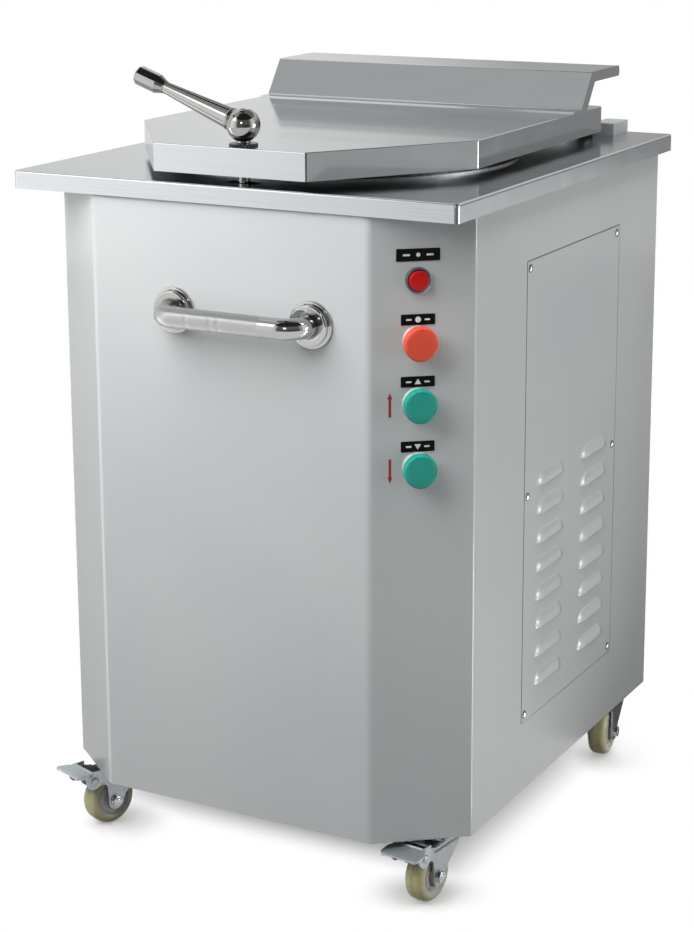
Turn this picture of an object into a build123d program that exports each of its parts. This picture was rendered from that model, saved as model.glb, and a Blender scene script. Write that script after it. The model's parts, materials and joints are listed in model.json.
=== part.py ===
from build123d import *
import math
import os

# Floor-standing hydraulic dough divider, in millimetres.
# +Z is up and the front, with the grab handle, faces -Y.
# The origin is on the floor, midway between the sides and midway between the front of the
# handle and the rear edge of the table.

# Table top: a folded stainless tray
TABLE_WIDTH = 600.0
TABLE_DEPTH = 664.0
TABLE_HEIGHT = 871.0
TABLE_LIP = 22.0
TABLE_SHEET = 2.0
TABLE_EDGE_RADIUS = 3.0
TABLE_CORNER_RADIUS = 5.0

# Cabinet of painted sheet, with two chamfered front corners
CABINET_WIDTH = 568.0
CABINET_FOOT = 90.0
FRONT_OVERHANG = 4.0
REAR_OVERHANG = 9.0
CHAMFER_ACROSS = 97.0
CHAMFER_BACK = 78.0
PANEL_SHEET = 2.0
FRONT_BEND_RADIUS = 14.0
SIDE_BEND_RADIUS = 4.0
BASE_SHEET = 3.0

# How far a cutting shape runs past the faces that it cuts
CUT = 1.0

# Welded inner frame of square tube
FRAME_TUBE = 30.0
FRAME_WALL = 2.5
FRAME_INSET = 4.0

# Grab handle on the front panel; its drop is below the table
HANDLE_TUBE = 25.4
HANDLE_WALL = 1.5
HANDLE_SPAN = 186.0
HANDLE_CENTRE_X = 20.0
HANDLE_DROP = 151.0
HANDLE_STANDOFF = 38.0
HANDLE_BEND_RADIUS = 22.0
FLANGE_DIAMETER = 56.0
FLANGE_BASE = 3.5
FLANGE_CUP_DIAMETER = 49.0
FLANGE_DEPTH = 10.0
FLANGE_EDGE_RADIUS = 2.5
FLANGE_BORE_CLEARANCE = 0.15

# Access cover on the right side, flush in its opening on a ledge
COVER_FROM_FRONT = 222.0
COVER_LENGTH = 294.0
COVER_RISE = 92.0
COVER_HEIGHT = 586.0
COVER_GAP = 1.2
COVER_LEDGE = 16.0
COVER_LEDGE_LAP = 10.0
COVER_SCREW_INSET = 9.0
COVER_SCREW_ROWS = 3
SCREW_SHANK = 4.0
SCREW_HEAD = 9.5
SCREW_HEAD_HEIGHT = 2.4
SCREW_HEAD_ROUNDING = 1.7
SCREW_HOLE_CLEARANCE = 0.2
SCREW_TAIL = 6.0

# Pressed louvres of the access cover, each a hood open at its foot
LOUVRE_COLUMNS = 2
LOUVRE_ROWS = 8
LOUVRE_LENGTH = 87.0
LOUVRE_HEIGHT = 16.0
LOUVRE_PROUD = 6.0
LOUVRE_ROW_PITCH = 37.3
LOUVRE_COLUMN_PITCH = 140.0
LOUVRE_FIRST_COLUMN = 80.0
LOUVRE_FIRST_ROW = 38.0

# Control panel on the right chamfer: the drops are below the table
DEVICE_ALONG = 57.0
PILOT_DROP = 94.5
STOP_DROP = 165.0
UP_DROP = 237.5
DOWN_DROP = 314.0
PANEL_BARREL = 22.0
PANEL_HOLE_CLEARANCE = 0.2
BARREL_TAIL = 12.0
COLLAR_DIAMETER = 36.0
COLLAR_PROUD = 6.0
COLLAR_CHAMFER = 1.0
MUSHROOM_DIAMETER = 40.0
MUSHROOM_HEAD = 13.0
MUSHROOM_CROWN = 3.0
MUSHROOM_EDGE_RADIUS = 4.0
BUTTON_STEM = 12.0
BUTTON_STEM_CLEARANCE = 0.05
BUTTON_STEM_TAIL = 6.0
BUTTON_TRAVEL = 4.0
BUTTON_GAP = 1.0
PILOT_DIAMETER = 30.0
PILOT_PROUD = 5.0
PILOT_SEAT = 2.0
LENS_DIAMETER = 24.0
LENS_PROUD = 10.0
LENS_CLEARANCE = 0.1
SWITCH_WIDTH = 30.0
SWITCH_HEIGHT = 38.0
SWITCH_DEPTH = 32.0
LEGEND_THICKNESS = 1.0
LEGEND_WIDTH = 39.6
LEGEND_HEIGHT = 12.6
LEGEND_RISE = 25.0
PILOT_LEGEND_WIDTH = 50.6
PILOT_LEGEND_HEIGHT = 14.5
PILOT_LEGEND_RISE = 29.0

# Lid: a folded stainless tray with chamfered front corners, floating above the table
LID_WIDTH = 468.0
LID_DEPTH = 563.0
LID_SETBACK = 12.0
LID_GAP = 10.0
LID_THICKNESS = 33.5
LID_CHAMFER_ACROSS = 131.0
LID_CHAMFER_BACK = 180.0
LID_SHEET = 2.0
LID_EDGE_RADIUS = 1.5
LID_CORNER_RADIUS = 2.5
CLOSING_PLATE = 8.0
PRESS_DISC_RADIUS = 196.0
PRESS_DISC_GAP = 0.5

# Upstand across the rear of the lid: a sloping wall with a level shelf behind its top
UPSTAND_FROM_FRONT = 492.0
UPSTAND_LEAN = 35.0
UPSTAND_HEIGHT = 48.0
UPSTAND_THICKNESS = 20.0
SHELF_DEPTH = 95.0
SHELF_THICKNESS = 13.5
UPSTAND_SHEET = 2.0
UPSTAND_EDGE_RADIUS = 4.0
UPSTAND_FOOT_RADIUS = 3.0
UPSTAND_FOOT_FLANGE = 22.0
UPSTAND_FOOT_SHEET = 1.5

# Lid hinge behind the lid
HINGE_BLOCK_WIDTH = 30.0
HINGE_BLOCK_LENGTH = 51.0
HINGE_BLOCK_HEIGHT = 16.0
HINGE_BLOCK_EDGE_RADIUS = 1.0
HINGE_BLOCK_SKIN = 5.0
HINGE_OUTSET = 2.0
HINGE_AXIS_HEIGHT = 9.0
HINGE_AXIS_FROM_REAR = 26.0
HINGE_PIN = 10.0
HINGE_PIN_CLEARANCE = 0.05
HINGE_LUG_WIDTH = 28.0
HINGE_LUG_RADIUS = 8.0
HINGE_LUG_ROOT = 24.0
HINGE_LUG_GAP = 1.0

# Clamp lever and the latch under the front of the lid
LATCH_X = 8.0
LATCH_FROM_LID_FRONT = 22.0
SPINDLE = 14.0
SPINDLE_CLEARANCE = 0.05
BUSH_SLEEVE = 20.0
BUSH_FLANGE = 34.0
BUSH_FLANGE_THICKNESS = 3.0
CROSS_BAR_LENGTH = 36.0
CROSS_BAR_WIDTH = 14.0
CROSS_BAR_HEIGHT = 8.0
CROSS_BAR_ROOM = 3.5
KEEPER_LENGTH = 80.0
KEEPER_WIDTH = 44.0
KEEPER_THICKNESS = 6.0
KEEPER_GAP = 0.6
LEVER_BALL = 40.0
LEVER_BALL_RISE = 24.0
LEVER_NECK = 17.0
LEVER_NECK_GAP = 0.4
LEVER_SLOPE_DEGREES = 20.0
LEVER_ARM_LENGTH = 113.0
LEVER_ARM_ROOT = 27.0
LEVER_ARM_TIP = 14.0
KNOB_LENGTH = 40.0
KNOB_CONE = 10.0
KNOB_ACROSS = 21.5
KNOB_SIDES = 8
KNOB_END_CHAMFER = 1.5

# Round dough chamber hung in the table
CHAMBER_RADIUS = 200.0
CHAMBER_WALL = 5.0
CHAMBER_FROM_FRONT = 291.0
CHAMBER_DEPTH = 165.0
CHAMBER_RIM_RADIUS = 222.0
CHAMBER_RIM = 2.0
CHAMBER_CLEARANCE = 0.5

# Pressing pads and the knives between them; raised fully, the pads stop just below the table top
RAM_STROKE = 85.0
PAD_TOP_CLEAR = 3.0
PAD_THICKNESS = 12.0
PAD_EDGE_CHAMFER = 1.0
PAD_SPLIT_RADIUS = 110.0
PAD_WALL_GAP = 2.0
INNER_PADS = 6
OUTER_PADS = 14
KNIFE = 2.0
KNIFE_CLEARANCE = 0.6
KNIFE_SINK = 2.0
KNIFE_HEIGHT = 75.0
KNIFE_HUB = 12.0
CARRIER_RADIUS = 186.0
KNIFE_CARRIER = 12.0
PRESS_CARRIER = 10.0
CARRIER_GAP = 1.0
POST = 12.0
POST_CLEARANCE = 0.5
INNER_POST_RADIUS = 66.0
OUTER_POST_RADIUS = 155.0
PAD_TRAVEL = 60.0

# Hydraulic cylinder
ROD = 40.0
ROD_CLEARANCE = 0.05
ROD_HOLE_CLEARANCE = 3.0
PISTON = 30.0
PISTON_REST = 6.0
PISTON_SPARE = 15.0
CYLINDER_BORE = 70.0
CYLINDER_WALL = 10.0
CYLINDER_CAP = 15.0
CYLINDER_GLAND = 25.0
CYLINDER_CLEAR = 8.0
CYLINDER_FLANGE_RADIUS = 80.0
CYLINDER_FLANGE = 12.0
CYLINDER_FLANGE_DROP = 40.0
CYLINDER_PORT = 20.0
CYLINDER_PORT_REACH = 15.0
CYLINDER_PORT_INSET = 30.0
BEAM_GAP = 2.0

# Hydraulic power pack and electrics on the base plate
MOTOR_X = 150.0
MOTOR_DIAMETER = 130.0
MOTOR_LENGTH = 220.0
MOTOR_FOOT = 15.0
MOTOR_FOOT_WIDTH = 90.0
PUMP_WIDTH = 90.0
PUMP_LENGTH = 80.0
PUMP_HEIGHT = 110.0
TANK_WIDTH = 180.0
TANK_LENGTH = 280.0
TANK_HEIGHT = 170.0
TANK_SHEET = 3.0
TANK_FILLER = 40.0
TANK_FROM_PUMP = 175.0
HOSE = 16.0
HOSE_BORE = 8.0
HOSE_BEND_RADIUS = 60.0
HOSE_SPACING = 50.0
SUCTION_RISE = 40.0
CONTROL_BOX_WIDTH = 200.0
CONTROL_BOX_DEPTH = 90.0
CONTROL_BOX_HEIGHT = 160.0
CONTROL_BOX_SHEET = 1.5
CONTROL_BOX_FROM_FRONT = 60.0

# Cable gland in the rear panel
GLAND_X = 180.0
GLAND_RISE = 70.0
GLAND_BODY = 20.0
GLAND_FLANGE = 28.0
GLAND_FLANGE_THICKNESS = 3.0
GLAND_PROUD = 8.0
GLAND_TAPER = 2.0
GLAND_TAIL = 14.0
GLAND_NUT = 4.0
GLAND_BORE = 10.0
GLAND_CLEARANCE = 0.2

# Swivel casters; the trail is from the swivel axis to the wheel's axle
FRONT_CASTER_X = 232.0
FRONT_CASTER_FROM_FRONT = 90.0
REAR_CASTER_X = 246.0
REAR_CASTER_FROM_REAR = 42.0
CASTER_HEADINGS = {
    "front_left": 249.9,
    "front_right": 263.5,
    "rear_left": 264.0,
    "rear_right": 276.0,
}
CASTER_TRAIL = 22.0
CASTER_PLATE = 56.0
CASTER_PLATE_THICKNESS = 3.0
CASTER_BOLT_INSET = 7.0
CASTER_BOLT = 6.0
CASTER_BOLT_HEAD = 10.0
CASTER_BOLT_HEAD_HEIGHT = 4.0
CASTER_BOLT_CLEARANCE = 0.2
KING_PIN = 10.0
KING_PIN_CLEARANCE = 0.05
KING_PIN_HEAD = 17.0
KING_PIN_HEAD_HEIGHT = 3.5
SWIVEL_GAP = 0.5
CROWN_DIAMETER = 46.0
CROWN_HEIGHT = 10.0
CROWN_CHAMFER = 2.5
YOKE = 3.0
YOKE_BACK = 22.0
YOKE_FRONT = 33.0
LEG_GAP = 2.5
LEG = 3.0
LEG_FOOT_RADIUS = 12.0
LEG_SHOULDER = 8.0
WHEEL_DIAMETER = 68.0
WHEEL_WIDTH = 26.0
WHEEL_TREAD_RADIUS = 7.0
WHEEL_RECESS_RADIUS = 22.0
WHEEL_RECESS = 3.0
WHEEL_HUB_RADIUS = 10.0
AXLE = 8.0
AXLE_CLEARANCE = 0.05
AXLE_HEAD = 13.0
AXLE_HEAD_HEIGHT = 4.5
PEDAL_PIVOT_AHEAD = 35.0
PEDAL_PIVOT_RISE = 37.0
PEDAL_PIN = 6.0
PEDAL_EAR = 2.0
PEDAL_EAR_GAP = 0.5
PEDAL_EAR_RADIUS = 11.0
PEDAL_LEG_RADIUS = 9.5
PEDAL_SHEET = 2.5
PEDAL_WIDTH = 54.0
PEDAL_BACK = 12.0
PEDAL_BACK_RISE = 14.5
PEDAL_CREST = 2.0
PEDAL_CREST_RISE = 13.0
PEDAL_FLARE = 14.0
PEDAL_REACH = 30.0
PEDAL_TIP_RISE = 9.5
PEDAL_TIP_DROP = 1.0
PEDAL_TIP_CORNER = 7.0
PEDAL_PIN_HEAD = 1.0
PEDAL_TONGUE_WIDTH = 22.0
PEDAL_TONGUE_ROOT = 9.6
PEDAL_TONGUE_DROP = 18.0
PEDAL_TONGUE_SHEET = 3.5

# Places worked out from the sizes above
CABINET_HALF = CABINET_WIDTH / 2
HANDLE_RADIUS = HANDLE_TUBE / 2
TABLE_FRONT = -(TABLE_DEPTH + FRONT_OVERHANG - HANDLE_STANDOFF - HANDLE_RADIUS) / 2
TABLE_REAR = TABLE_FRONT + TABLE_DEPTH
TABLE_UNDER = TABLE_HEIGHT - TABLE_SHEET
CABINET_FRONT = TABLE_FRONT + FRONT_OVERHANG
CABINET_REAR = TABLE_REAR - REAR_OVERHANG
CHAMFER_REAR = CABINET_FRONT + CHAMFER_BACK
SIDE_SEAM = CHAMFER_REAR + SIDE_BEND_RADIUS
CHAMFER_FRONT_X = CABINET_HALF - CHAMFER_ACROSS
BASE_TOP = CABINET_FOOT + BASE_SHEET

CHAMFER_LENGTH = math.hypot(CHAMFER_ACROSS, CHAMFER_BACK)
PANEL_ALONG = (CHAMFER_ACROSS / CHAMFER_LENGTH, CHAMFER_BACK / CHAMFER_LENGTH)
PANEL_OUT = (PANEL_ALONG[1], -PANEL_ALONG[0])

LID_FRONT = TABLE_FRONT + LID_SETBACK
LID_REAR = LID_FRONT + LID_DEPTH
LID_UNDER = TABLE_HEIGHT + LID_GAP
LID_TOP = LID_UNDER + LID_THICKNESS
HINGE_Y = TABLE_REAR - HINGE_AXIS_FROM_REAR
HINGE_Z = TABLE_HEIGHT + HINGE_AXIS_HEIGHT
HINGE_BLOCK_X = LID_WIDTH / 2 + HINGE_OUTSET
LATCH_Y = LID_FRONT + LATCH_FROM_LID_FRONT

CHAMBER_Y = TABLE_FRONT + CHAMBER_FROM_FRONT
PAD_TOP = TABLE_HEIGHT - PAD_TOP_CLEAR - RAM_STROKE
PAD_UNDER = PAD_TOP - PAD_THICKNESS
KNIFE_TOP = PAD_TOP - KNIFE_SINK
KNIFE_FOOT = KNIFE_TOP - KNIFE_HEIGHT
KNIFE_CARRIER_UNDER = KNIFE_FOOT - KNIFE_CARRIER
PRESS_CARRIER_TOP = KNIFE_CARRIER_UNDER - CARRIER_GAP
PRESS_CARRIER_UNDER = PRESS_CARRIER_TOP - PRESS_CARRIER
CYLINDER_TOP = PRESS_CARRIER_UNDER - PAD_TRAVEL - CYLINDER_CLEAR
PISTON_ROOM = PISTON_REST + PISTON + RAM_STROKE + PISTON_SPARE
CYLINDER_FOOT = CYLINDER_TOP - CYLINDER_GLAND - PISTON_ROOM - CYLINDER_CAP
CYLINDER_RADIUS = CYLINDER_BORE / 2 + CYLINDER_WALL
BEAM_TOP = CYLINDER_TOP - CYLINDER_FLANGE_DROP
BEAM_OFFSET = CYLINDER_RADIUS + BEAM_GAP + FRAME_TUBE / 2

CASTER_PLATE_UNDER = CABINET_FOOT - CASTER_PLATE_THICKNESS
CROWN_TOP = CASTER_PLATE_UNDER - SWIVEL_GAP
CROWN_UNDER = CROWN_TOP - CROWN_HEIGHT
YOKE_UNDER = CROWN_UNDER - YOKE
AXLE_Z = WHEEL_DIAMETER / 2
LEG_INNER = WHEEL_WIDTH / 2 + LEG_GAP
LEG_OUTER = LEG_INNER + LEG
PEDAL_PIVOT_U = CASTER_TRAIL + PEDAL_PIVOT_AHEAD
PEDAL_PIVOT_Z = AXLE_Z + PEDAL_PIVOT_RISE
CASTER_PLACES = {
    "front_left": (-FRONT_CASTER_X, CABINET_FRONT + FRONT_CASTER_FROM_FRONT),
    "front_right": (FRONT_CASTER_X, CABINET_FRONT + FRONT_CASTER_FROM_FRONT),
    "rear_left": (-REAR_CASTER_X, CABINET_REAR - REAR_CASTER_FROM_REAR),
    "rear_right": (REAR_CASTER_X, CABINET_REAR - REAR_CASTER_FROM_REAR),
}
BRAKED_CASTERS = ("front_left", "front_right")
# End of the sizes and places


def block(x, y, z):
    """A box between three pairs of limits."""
    size = (x[1] - x[0], y[1] - y[0], z[1] - z[0])
    centre = ((x[0] + x[1]) / 2, (y[0] + y[1]) / 2, (z[0] + z[1]) / 2)
    return Pos(*centre) * Box(*size)


def disc(radius, z, x=0.0, y=0.0):
    """An upright cylinder between two heights."""
    return Pos(x, y, (z[0] + z[1]) / 2) * Cylinder(radius, z[1] - z[0])


def rod_along_x(radius, x, y, z):
    """A cylinder along X between two places."""
    return Pos((x[0] + x[1]) / 2, y, z) * Rot(0, 90, 0) * Cylinder(radius, x[1] - x[0])


def rod_along_y(radius, x, y, z):
    """A cylinder along Y between two places."""
    return Pos(x, (y[0] + y[1]) / 2, z) * Rot(90, 0, 0) * Cylinder(radius, y[1] - y[0])


def slab_along_x(points, x):
    """A flat outline of (y, z) points carried along X."""
    face = make_face(Polyline(*[(x[0], py, pz) for py, pz in points], close=True))
    return extrude(face, amount=x[1] - x[0], dir=(1, 0, 0))


def slab_along_y(points, y):
    """A flat outline of (x, z) points carried along Y."""
    face = make_face(Polyline(*[(px, y[0], pz) for px, pz in points], close=True))
    return extrude(face, amount=y[1] - y[0], dir=(0, 1, 0))


def slab_upright(points, z):
    """A flat outline of (x, y) points carried up Z."""
    face = make_face(Polyline(*[(px, py, z[0]) for px, py in points], close=True))
    return extrude(face, amount=z[1] - z[0], dir=(0, 0, 1))


def turned(points):
    """A solid of revolution about Z from an outline of (radius, height) points."""
    face = make_face(Polyline(*[(r, 0, z) for r, z in points], close=True))
    return revolve(face, axis=Axis.Z)


def hex_prism(across, z, x=0.0, y=0.0):
    """An upright hexagonal head or nut."""
    sketch = RegularPolygon(across / 2, 6, major_radius=False)
    return Pos(x, y, z[0]) * extrude(sketch, amount=z[1] - z[0], dir=(0, 0, 1))


def mirrored(shape):
    """The same piece on the other side of the middle plane."""
    return mirror(shape, about=Plane.YZ)


def edges_at_height(shape, z):
    """The level edges of a shape at one height."""
    return shape.edges().filter_by(lambda e: abs(e.bounding_box().min.Z - z) < 1e-4
                                   and abs(e.bounding_box().max.Z - z) < 1e-4)


def cabinet_plan(inset):
    """The cabinet's outline in plan, drawn in by a sheet thickness, with rounded bends at the chamfers."""
    outline = Polygon(
        (-CABINET_HALF, CABINET_REAR),
        (-CABINET_HALF, CHAMFER_REAR),
        (-CHAMFER_FRONT_X, CABINET_FRONT),
        (CHAMFER_FRONT_X, CABINET_FRONT),
        (CABINET_HALF, CHAMFER_REAR),
        (CABINET_HALF, CABINET_REAR),
        align=None,
    )
    if inset > 0:
        outline = offset(outline, amount=-inset, kind=Kind.INTERSECTION)
    outline = fillet(outline.vertices().sort_by(Axis.Y)[:2], FRONT_BEND_RADIUS - inset)
    sides = outline.vertices().group_by(Axis.Y)[-2]
    return fillet(sides, SIDE_BEND_RADIUS - inset)


def cabinet_wall():
    """The closed ring of cabinet sheet that the four panels are cut from."""
    ring = cabinet_plan(0) - cabinet_plan(PANEL_SHEET)
    return Pos(0, 0, CABINET_FOOT) * extrude(ring, amount=TABLE_UNDER - CABINET_FOOT, dir=(0, 0, 1))


def panel_frame(along, drop):
    """Place on the right chamfer: local Z points out of the panel and local Y points up."""
    origin = (
        CHAMFER_FRONT_X + along * PANEL_ALONG[0],
        CABINET_FRONT + along * PANEL_ALONG[1],
        TABLE_UNDER - drop,
    )
    return Plane(origin=origin, x_dir=(*PANEL_ALONG, 0), z_dir=(*PANEL_OUT, 0)).location


def device_places():
    """Places of the pilot light and the three push buttons, from the top down."""
    return [panel_frame(DEVICE_ALONG, drop) for drop in (PILOT_DROP, STOP_DROP, UP_DROP, DOWN_DROP)]


def front_panel():
    """Bent front sheet with both chamfers, bored for the devices on the right one."""
    keep = block((-CABINET_WIDTH, CABINET_WIDTH), (CABINET_FRONT - CUT, SIDE_SEAM),
                 (CABINET_FOOT - CUT, TABLE_HEIGHT))
    panel = cabinet_wall() & keep
    hole = Cylinder(PANEL_BARREL / 2 + PANEL_HOLE_CLEARANCE, 6 * PANEL_SHEET)
    for place in device_places():
        panel -= place * hole
    return panel


def side_keep(sign):
    """Box that holds one side panel's share of the cabinet wall."""
    near = 0.0
    far = sign * CABINET_WIDTH
    return block((min(near, far), max(near, far)), (SIDE_SEAM, CABINET_REAR - PANEL_SHEET),
                 (CABINET_FOOT - CUT, TABLE_HEIGHT))


def cover_limits(margin):
    """Limits of the access cover in Y and Z, grown by a margin."""
    front = CABINET_FRONT + COVER_FROM_FRONT
    foot = CABINET_FOOT + COVER_RISE
    return ((front - margin, front + COVER_LENGTH + margin),
            (foot - margin, foot + COVER_HEIGHT + margin))


def cover_screw_places():
    """(y, z) places of the cover's screws."""
    (y0, y1), (z0, z1) = cover_limits(-COVER_SCREW_INSET)
    step = (z1 - z0) / (COVER_SCREW_ROWS - 1)
    return [(y, z0 + row * step) for y in (y0, y1) for row in range(COVER_SCREW_ROWS)]


def right_side_panel():
    """Right side sheet with the cover's opening and the ledge behind it."""
    panel = cabinet_wall() & side_keep(1)
    outer = CABINET_HALF
    inner = CABINET_HALF - PANEL_SHEET
    panel -= block((inner - CUT, outer + CUT), *cover_limits(COVER_GAP))
    ledge = block((inner - PANEL_SHEET, inner), *cover_limits(COVER_LEDGE_LAP))
    ledge -= block((inner - 2 * PANEL_SHEET, outer), *cover_limits(-COVER_LEDGE))
    for y, z in cover_screw_places():
        hole_x = (inner - 2 * PANEL_SHEET, outer)
        ledge -= rod_along_x(SCREW_SHANK / 2 + SCREW_HOLE_CLEARANCE, hole_x, y, z)
    return panel + ledge


def louvre_capsule(radius, centre_x, y, z):
    """Round-ended bar that a louvre's hood is cut from."""
    half = LOUVRE_LENGTH / 2 - LOUVRE_HEIGHT
    bar = rod_along_y(radius, centre_x, (y - half, y + half), z)
    ends = [Pos(centre_x, y + side * half, z) * Sphere(radius) for side in (-1, 1)]
    return bar + ends[0] + ends[1]


def access_cover():
    """Flush cover plate with its pressed louvres."""
    outer = CABINET_HALF
    inner = CABINET_HALF - PANEL_SHEET
    plate = block((inner, outer), *cover_limits(0))
    (front, _), (foot, _) = cover_limits(0)
    bulge = (LOUVRE_PROUD**2 + LOUVRE_HEIGHT**2) / (2 * LOUVRE_PROUD)
    axis_x = outer + LOUVRE_PROUD - bulge
    for column in range(LOUVRE_COLUMNS):
        y = front + LOUVRE_FIRST_COLUMN + column * LOUVRE_COLUMN_PITCH
        for row in range(LOUVRE_ROWS):
            z = foot + LOUVRE_FIRST_ROW + row * LOUVRE_ROW_PITCH
            reach = (y - LOUVRE_LENGTH, y + LOUVRE_LENGTH)
            keep = block((inner, outer + 2 * LOUVRE_PROUD), reach, (z, z + 2 * LOUVRE_HEIGHT))
            hood = louvre_capsule(bulge, axis_x, y, z) & keep
            room = louvre_capsule(bulge - PANEL_SHEET, axis_x, y, z) & keep
            plate = plate + hood - room
    for y, z in cover_screw_places():
        plate -= rod_along_x(SCREW_SHANK / 2 + SCREW_HOLE_CLEARANCE, (inner - CUT, outer + CUT), y, z)
    return plate


def access_cover_screws():
    """Pan-head screws of the access cover."""
    outer = CABINET_HALF
    screws = []
    for y, z in cover_screw_places():
        head = rod_along_x(SCREW_HEAD / 2, (outer, outer + SCREW_HEAD_HEIGHT), y, z)
        head = fillet(head.edges().sort_by(Axis.X)[-1], SCREW_HEAD_ROUNDING)
        shank = rod_along_x(SCREW_SHANK / 2, (outer - SCREW_TAIL, outer), y, z)
        screws.append(head + shank)
    return screws


def rear_panel():
    """Rear sheet with the cable gland's hole."""
    keep = block((-CABINET_WIDTH, CABINET_WIDTH), (CABINET_REAR - PANEL_SHEET, CABINET_REAR + CUT),
                 (CABINET_FOOT - CUT, TABLE_HEIGHT))
    hole = rod_along_y(GLAND_BODY / 2 + GLAND_CLEARANCE, GLAND_X,
                       (CABINET_REAR - 2 * PANEL_SHEET, CABINET_REAR + CUT), CABINET_FOOT + GLAND_RISE)
    return (cabinet_wall() & keep) - hole


def caster_bolt_places(name):
    """(x, y) places of one caster's plate bolts."""
    x, y = CASTER_PLACES[name]
    reach = CASTER_PLATE / 2 - CASTER_BOLT_INSET
    return [(x + sx * reach, y + sy * reach) for sx in (-1, 1) for sy in (-1, 1)]


def base_plate():
    """Floor of the cabinet, inside its walls, drilled for the caster bolts."""
    plan = cabinet_plan(PANEL_SHEET)
    plate = Pos(0, 0, CABINET_FOOT) * extrude(plan, amount=BASE_SHEET, dir=(0, 0, 1))
    for name in CASTER_PLACES:
        for x, y in caster_bolt_places(name):
            plate -= disc(CASTER_BOLT / 2 + CASTER_BOLT_CLEARANCE,
                          (CABINET_FOOT - CUT, BASE_TOP + CUT), x, y)
    return plate


def tube_between(x, y, z, along):
    """Square tube between limits, open at both ends along one axis."""
    limits = [x, y, z]
    bore = [(low + FRAME_WALL, high - FRAME_WALL) for low, high in limits]
    bore[along] = (limits[along][0] - CUT, limits[along][1] + CUT)
    return block(*limits) - block(*bore)


def main_frame():
    """Four posts, top rails, side rails and the two beams that carry the cylinder."""
    far = CABINET_HALF - PANEL_SHEET - FRAME_INSET
    near = far - FRAME_TUBE
    front = (CHAMFER_REAR + FRAME_INSET, CHAMFER_REAR + FRAME_INSET + FRAME_TUBE)
    rear_face = CABINET_REAR - PANEL_SHEET - FRAME_INSET
    rear = (rear_face - FRAME_TUBE, rear_face)
    between = (front[1], rear[0])
    top = (TABLE_UNDER - FRAME_TUBE, TABLE_UNDER)
    beam = (BEAM_TOP - FRAME_TUBE, BEAM_TOP)
    frame = tube_between((-near, near), rear, top, 0)
    for side in ((-far, -near), (near, far)):
        frame += tube_between(side, front, (BASE_TOP, TABLE_UNDER), 2)
        frame += tube_between(side, rear, (BASE_TOP, TABLE_UNDER), 2)
        frame += tube_between(side, between, top, 1)
        frame += tube_between(side, between, beam, 1)
    for shift in (-BEAM_OFFSET, BEAM_OFFSET):
        y = (CHAMBER_Y + shift - FRAME_TUBE / 2, CHAMBER_Y + shift + FRAME_TUBE / 2)
        frame += tube_between((-near, near), y, beam, 0)
    return frame


def latch_slot(z):
    """Slot that lets the latch's cross bar through the table and its keeper."""
    half_x = CROSS_BAR_LENGTH / 2 + CROSS_BAR_ROOM
    half_y = CROSS_BAR_WIDTH / 2 + CROSS_BAR_ROOM
    return block((LATCH_X - half_x, LATCH_X + half_x), (LATCH_Y - half_y, LATCH_Y + half_y), z)


def table_top():
    """Table sheet with a lip turned down all round, the chamber's hole and the latch slot."""
    half = TABLE_WIDTH / 2
    foot = TABLE_HEIGHT - TABLE_LIP
    tray = block((-half, half), (TABLE_FRONT, TABLE_REAR), (foot, TABLE_HEIGHT))
    tray = fillet(tray.edges().filter_by(Axis.Z), TABLE_CORNER_RADIUS)
    tray = fillet(edges_at_height(tray, TABLE_HEIGHT), TABLE_EDGE_RADIUS)
    hollow = block((-half + TABLE_SHEET, half - TABLE_SHEET),
                   (TABLE_FRONT + TABLE_SHEET, TABLE_REAR - TABLE_SHEET), (foot - CUT, TABLE_UNDER))
    hollow = fillet(hollow.edges().filter_by(Axis.Z), TABLE_CORNER_RADIUS - TABLE_SHEET)
    tray -= hollow
    tray -= disc(CHAMBER_RADIUS + CHAMBER_WALL + CHAMBER_CLEARANCE,
                 (foot, TABLE_HEIGHT + CUT), 0, CHAMBER_Y)
    return tray - latch_slot((foot, TABLE_HEIGHT + CUT))


def latch_keeper():
    """Thick slotted plate under the table that the latch's cross bar turns behind."""
    half_x = KEEPER_LENGTH / 2
    half_y = KEEPER_WIDTH / 2
    under = TABLE_UNDER - KEEPER_THICKNESS
    plate = block((LATCH_X - half_x, LATCH_X + half_x), (LATCH_Y - half_y, LATCH_Y + half_y),
                  (under, TABLE_UNDER))
    return plate - latch_slot((under - CUT, TABLE_UNDER + CUT))


def dough_chamber():
    """Round tub wall hung in the table by its rim."""
    outer = CHAMBER_RADIUS + CHAMBER_WALL
    foot = TABLE_HEIGHT - CHAMBER_DEPTH
    rim = TABLE_HEIGHT + CHAMBER_RIM
    tub = turned([
        (CHAMBER_RADIUS, foot),
        (outer, foot),
        (outer, TABLE_HEIGHT),
        (CHAMBER_RIM_RADIUS, TABLE_HEIGHT),
        (CHAMBER_RIM_RADIUS, rim),
        (CHAMBER_RADIUS, rim),
    ])
    return Pos(0, CHAMBER_Y, 0) * tub


def handle_ends():
    """X places of the handle's two ends."""
    return (HANDLE_CENTRE_X - HANDLE_SPAN / 2, HANDLE_CENTRE_X + HANDLE_SPAN / 2)


def handle_bar():
    """Bent tube of the grab handle, standing on the front panel."""
    left, right = handle_ends()
    z = TABLE_UNDER - HANDLE_DROP
    out = CABINET_FRONT - HANDLE_STANDOFF
    path = FilletPolyline((left, CABINET_FRONT, z), (left, out, z), (right, out, z),
                          (right, CABINET_FRONT, z), radius=HANDLE_BEND_RADIUS)
    start = Plane(origin=(left, CABINET_FRONT, z), z_dir=(0, -1, 0))
    ring = Circle(HANDLE_RADIUS) - Circle(HANDLE_RADIUS - HANDLE_WALL)
    return sweep(start * ring, path=path)


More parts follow.
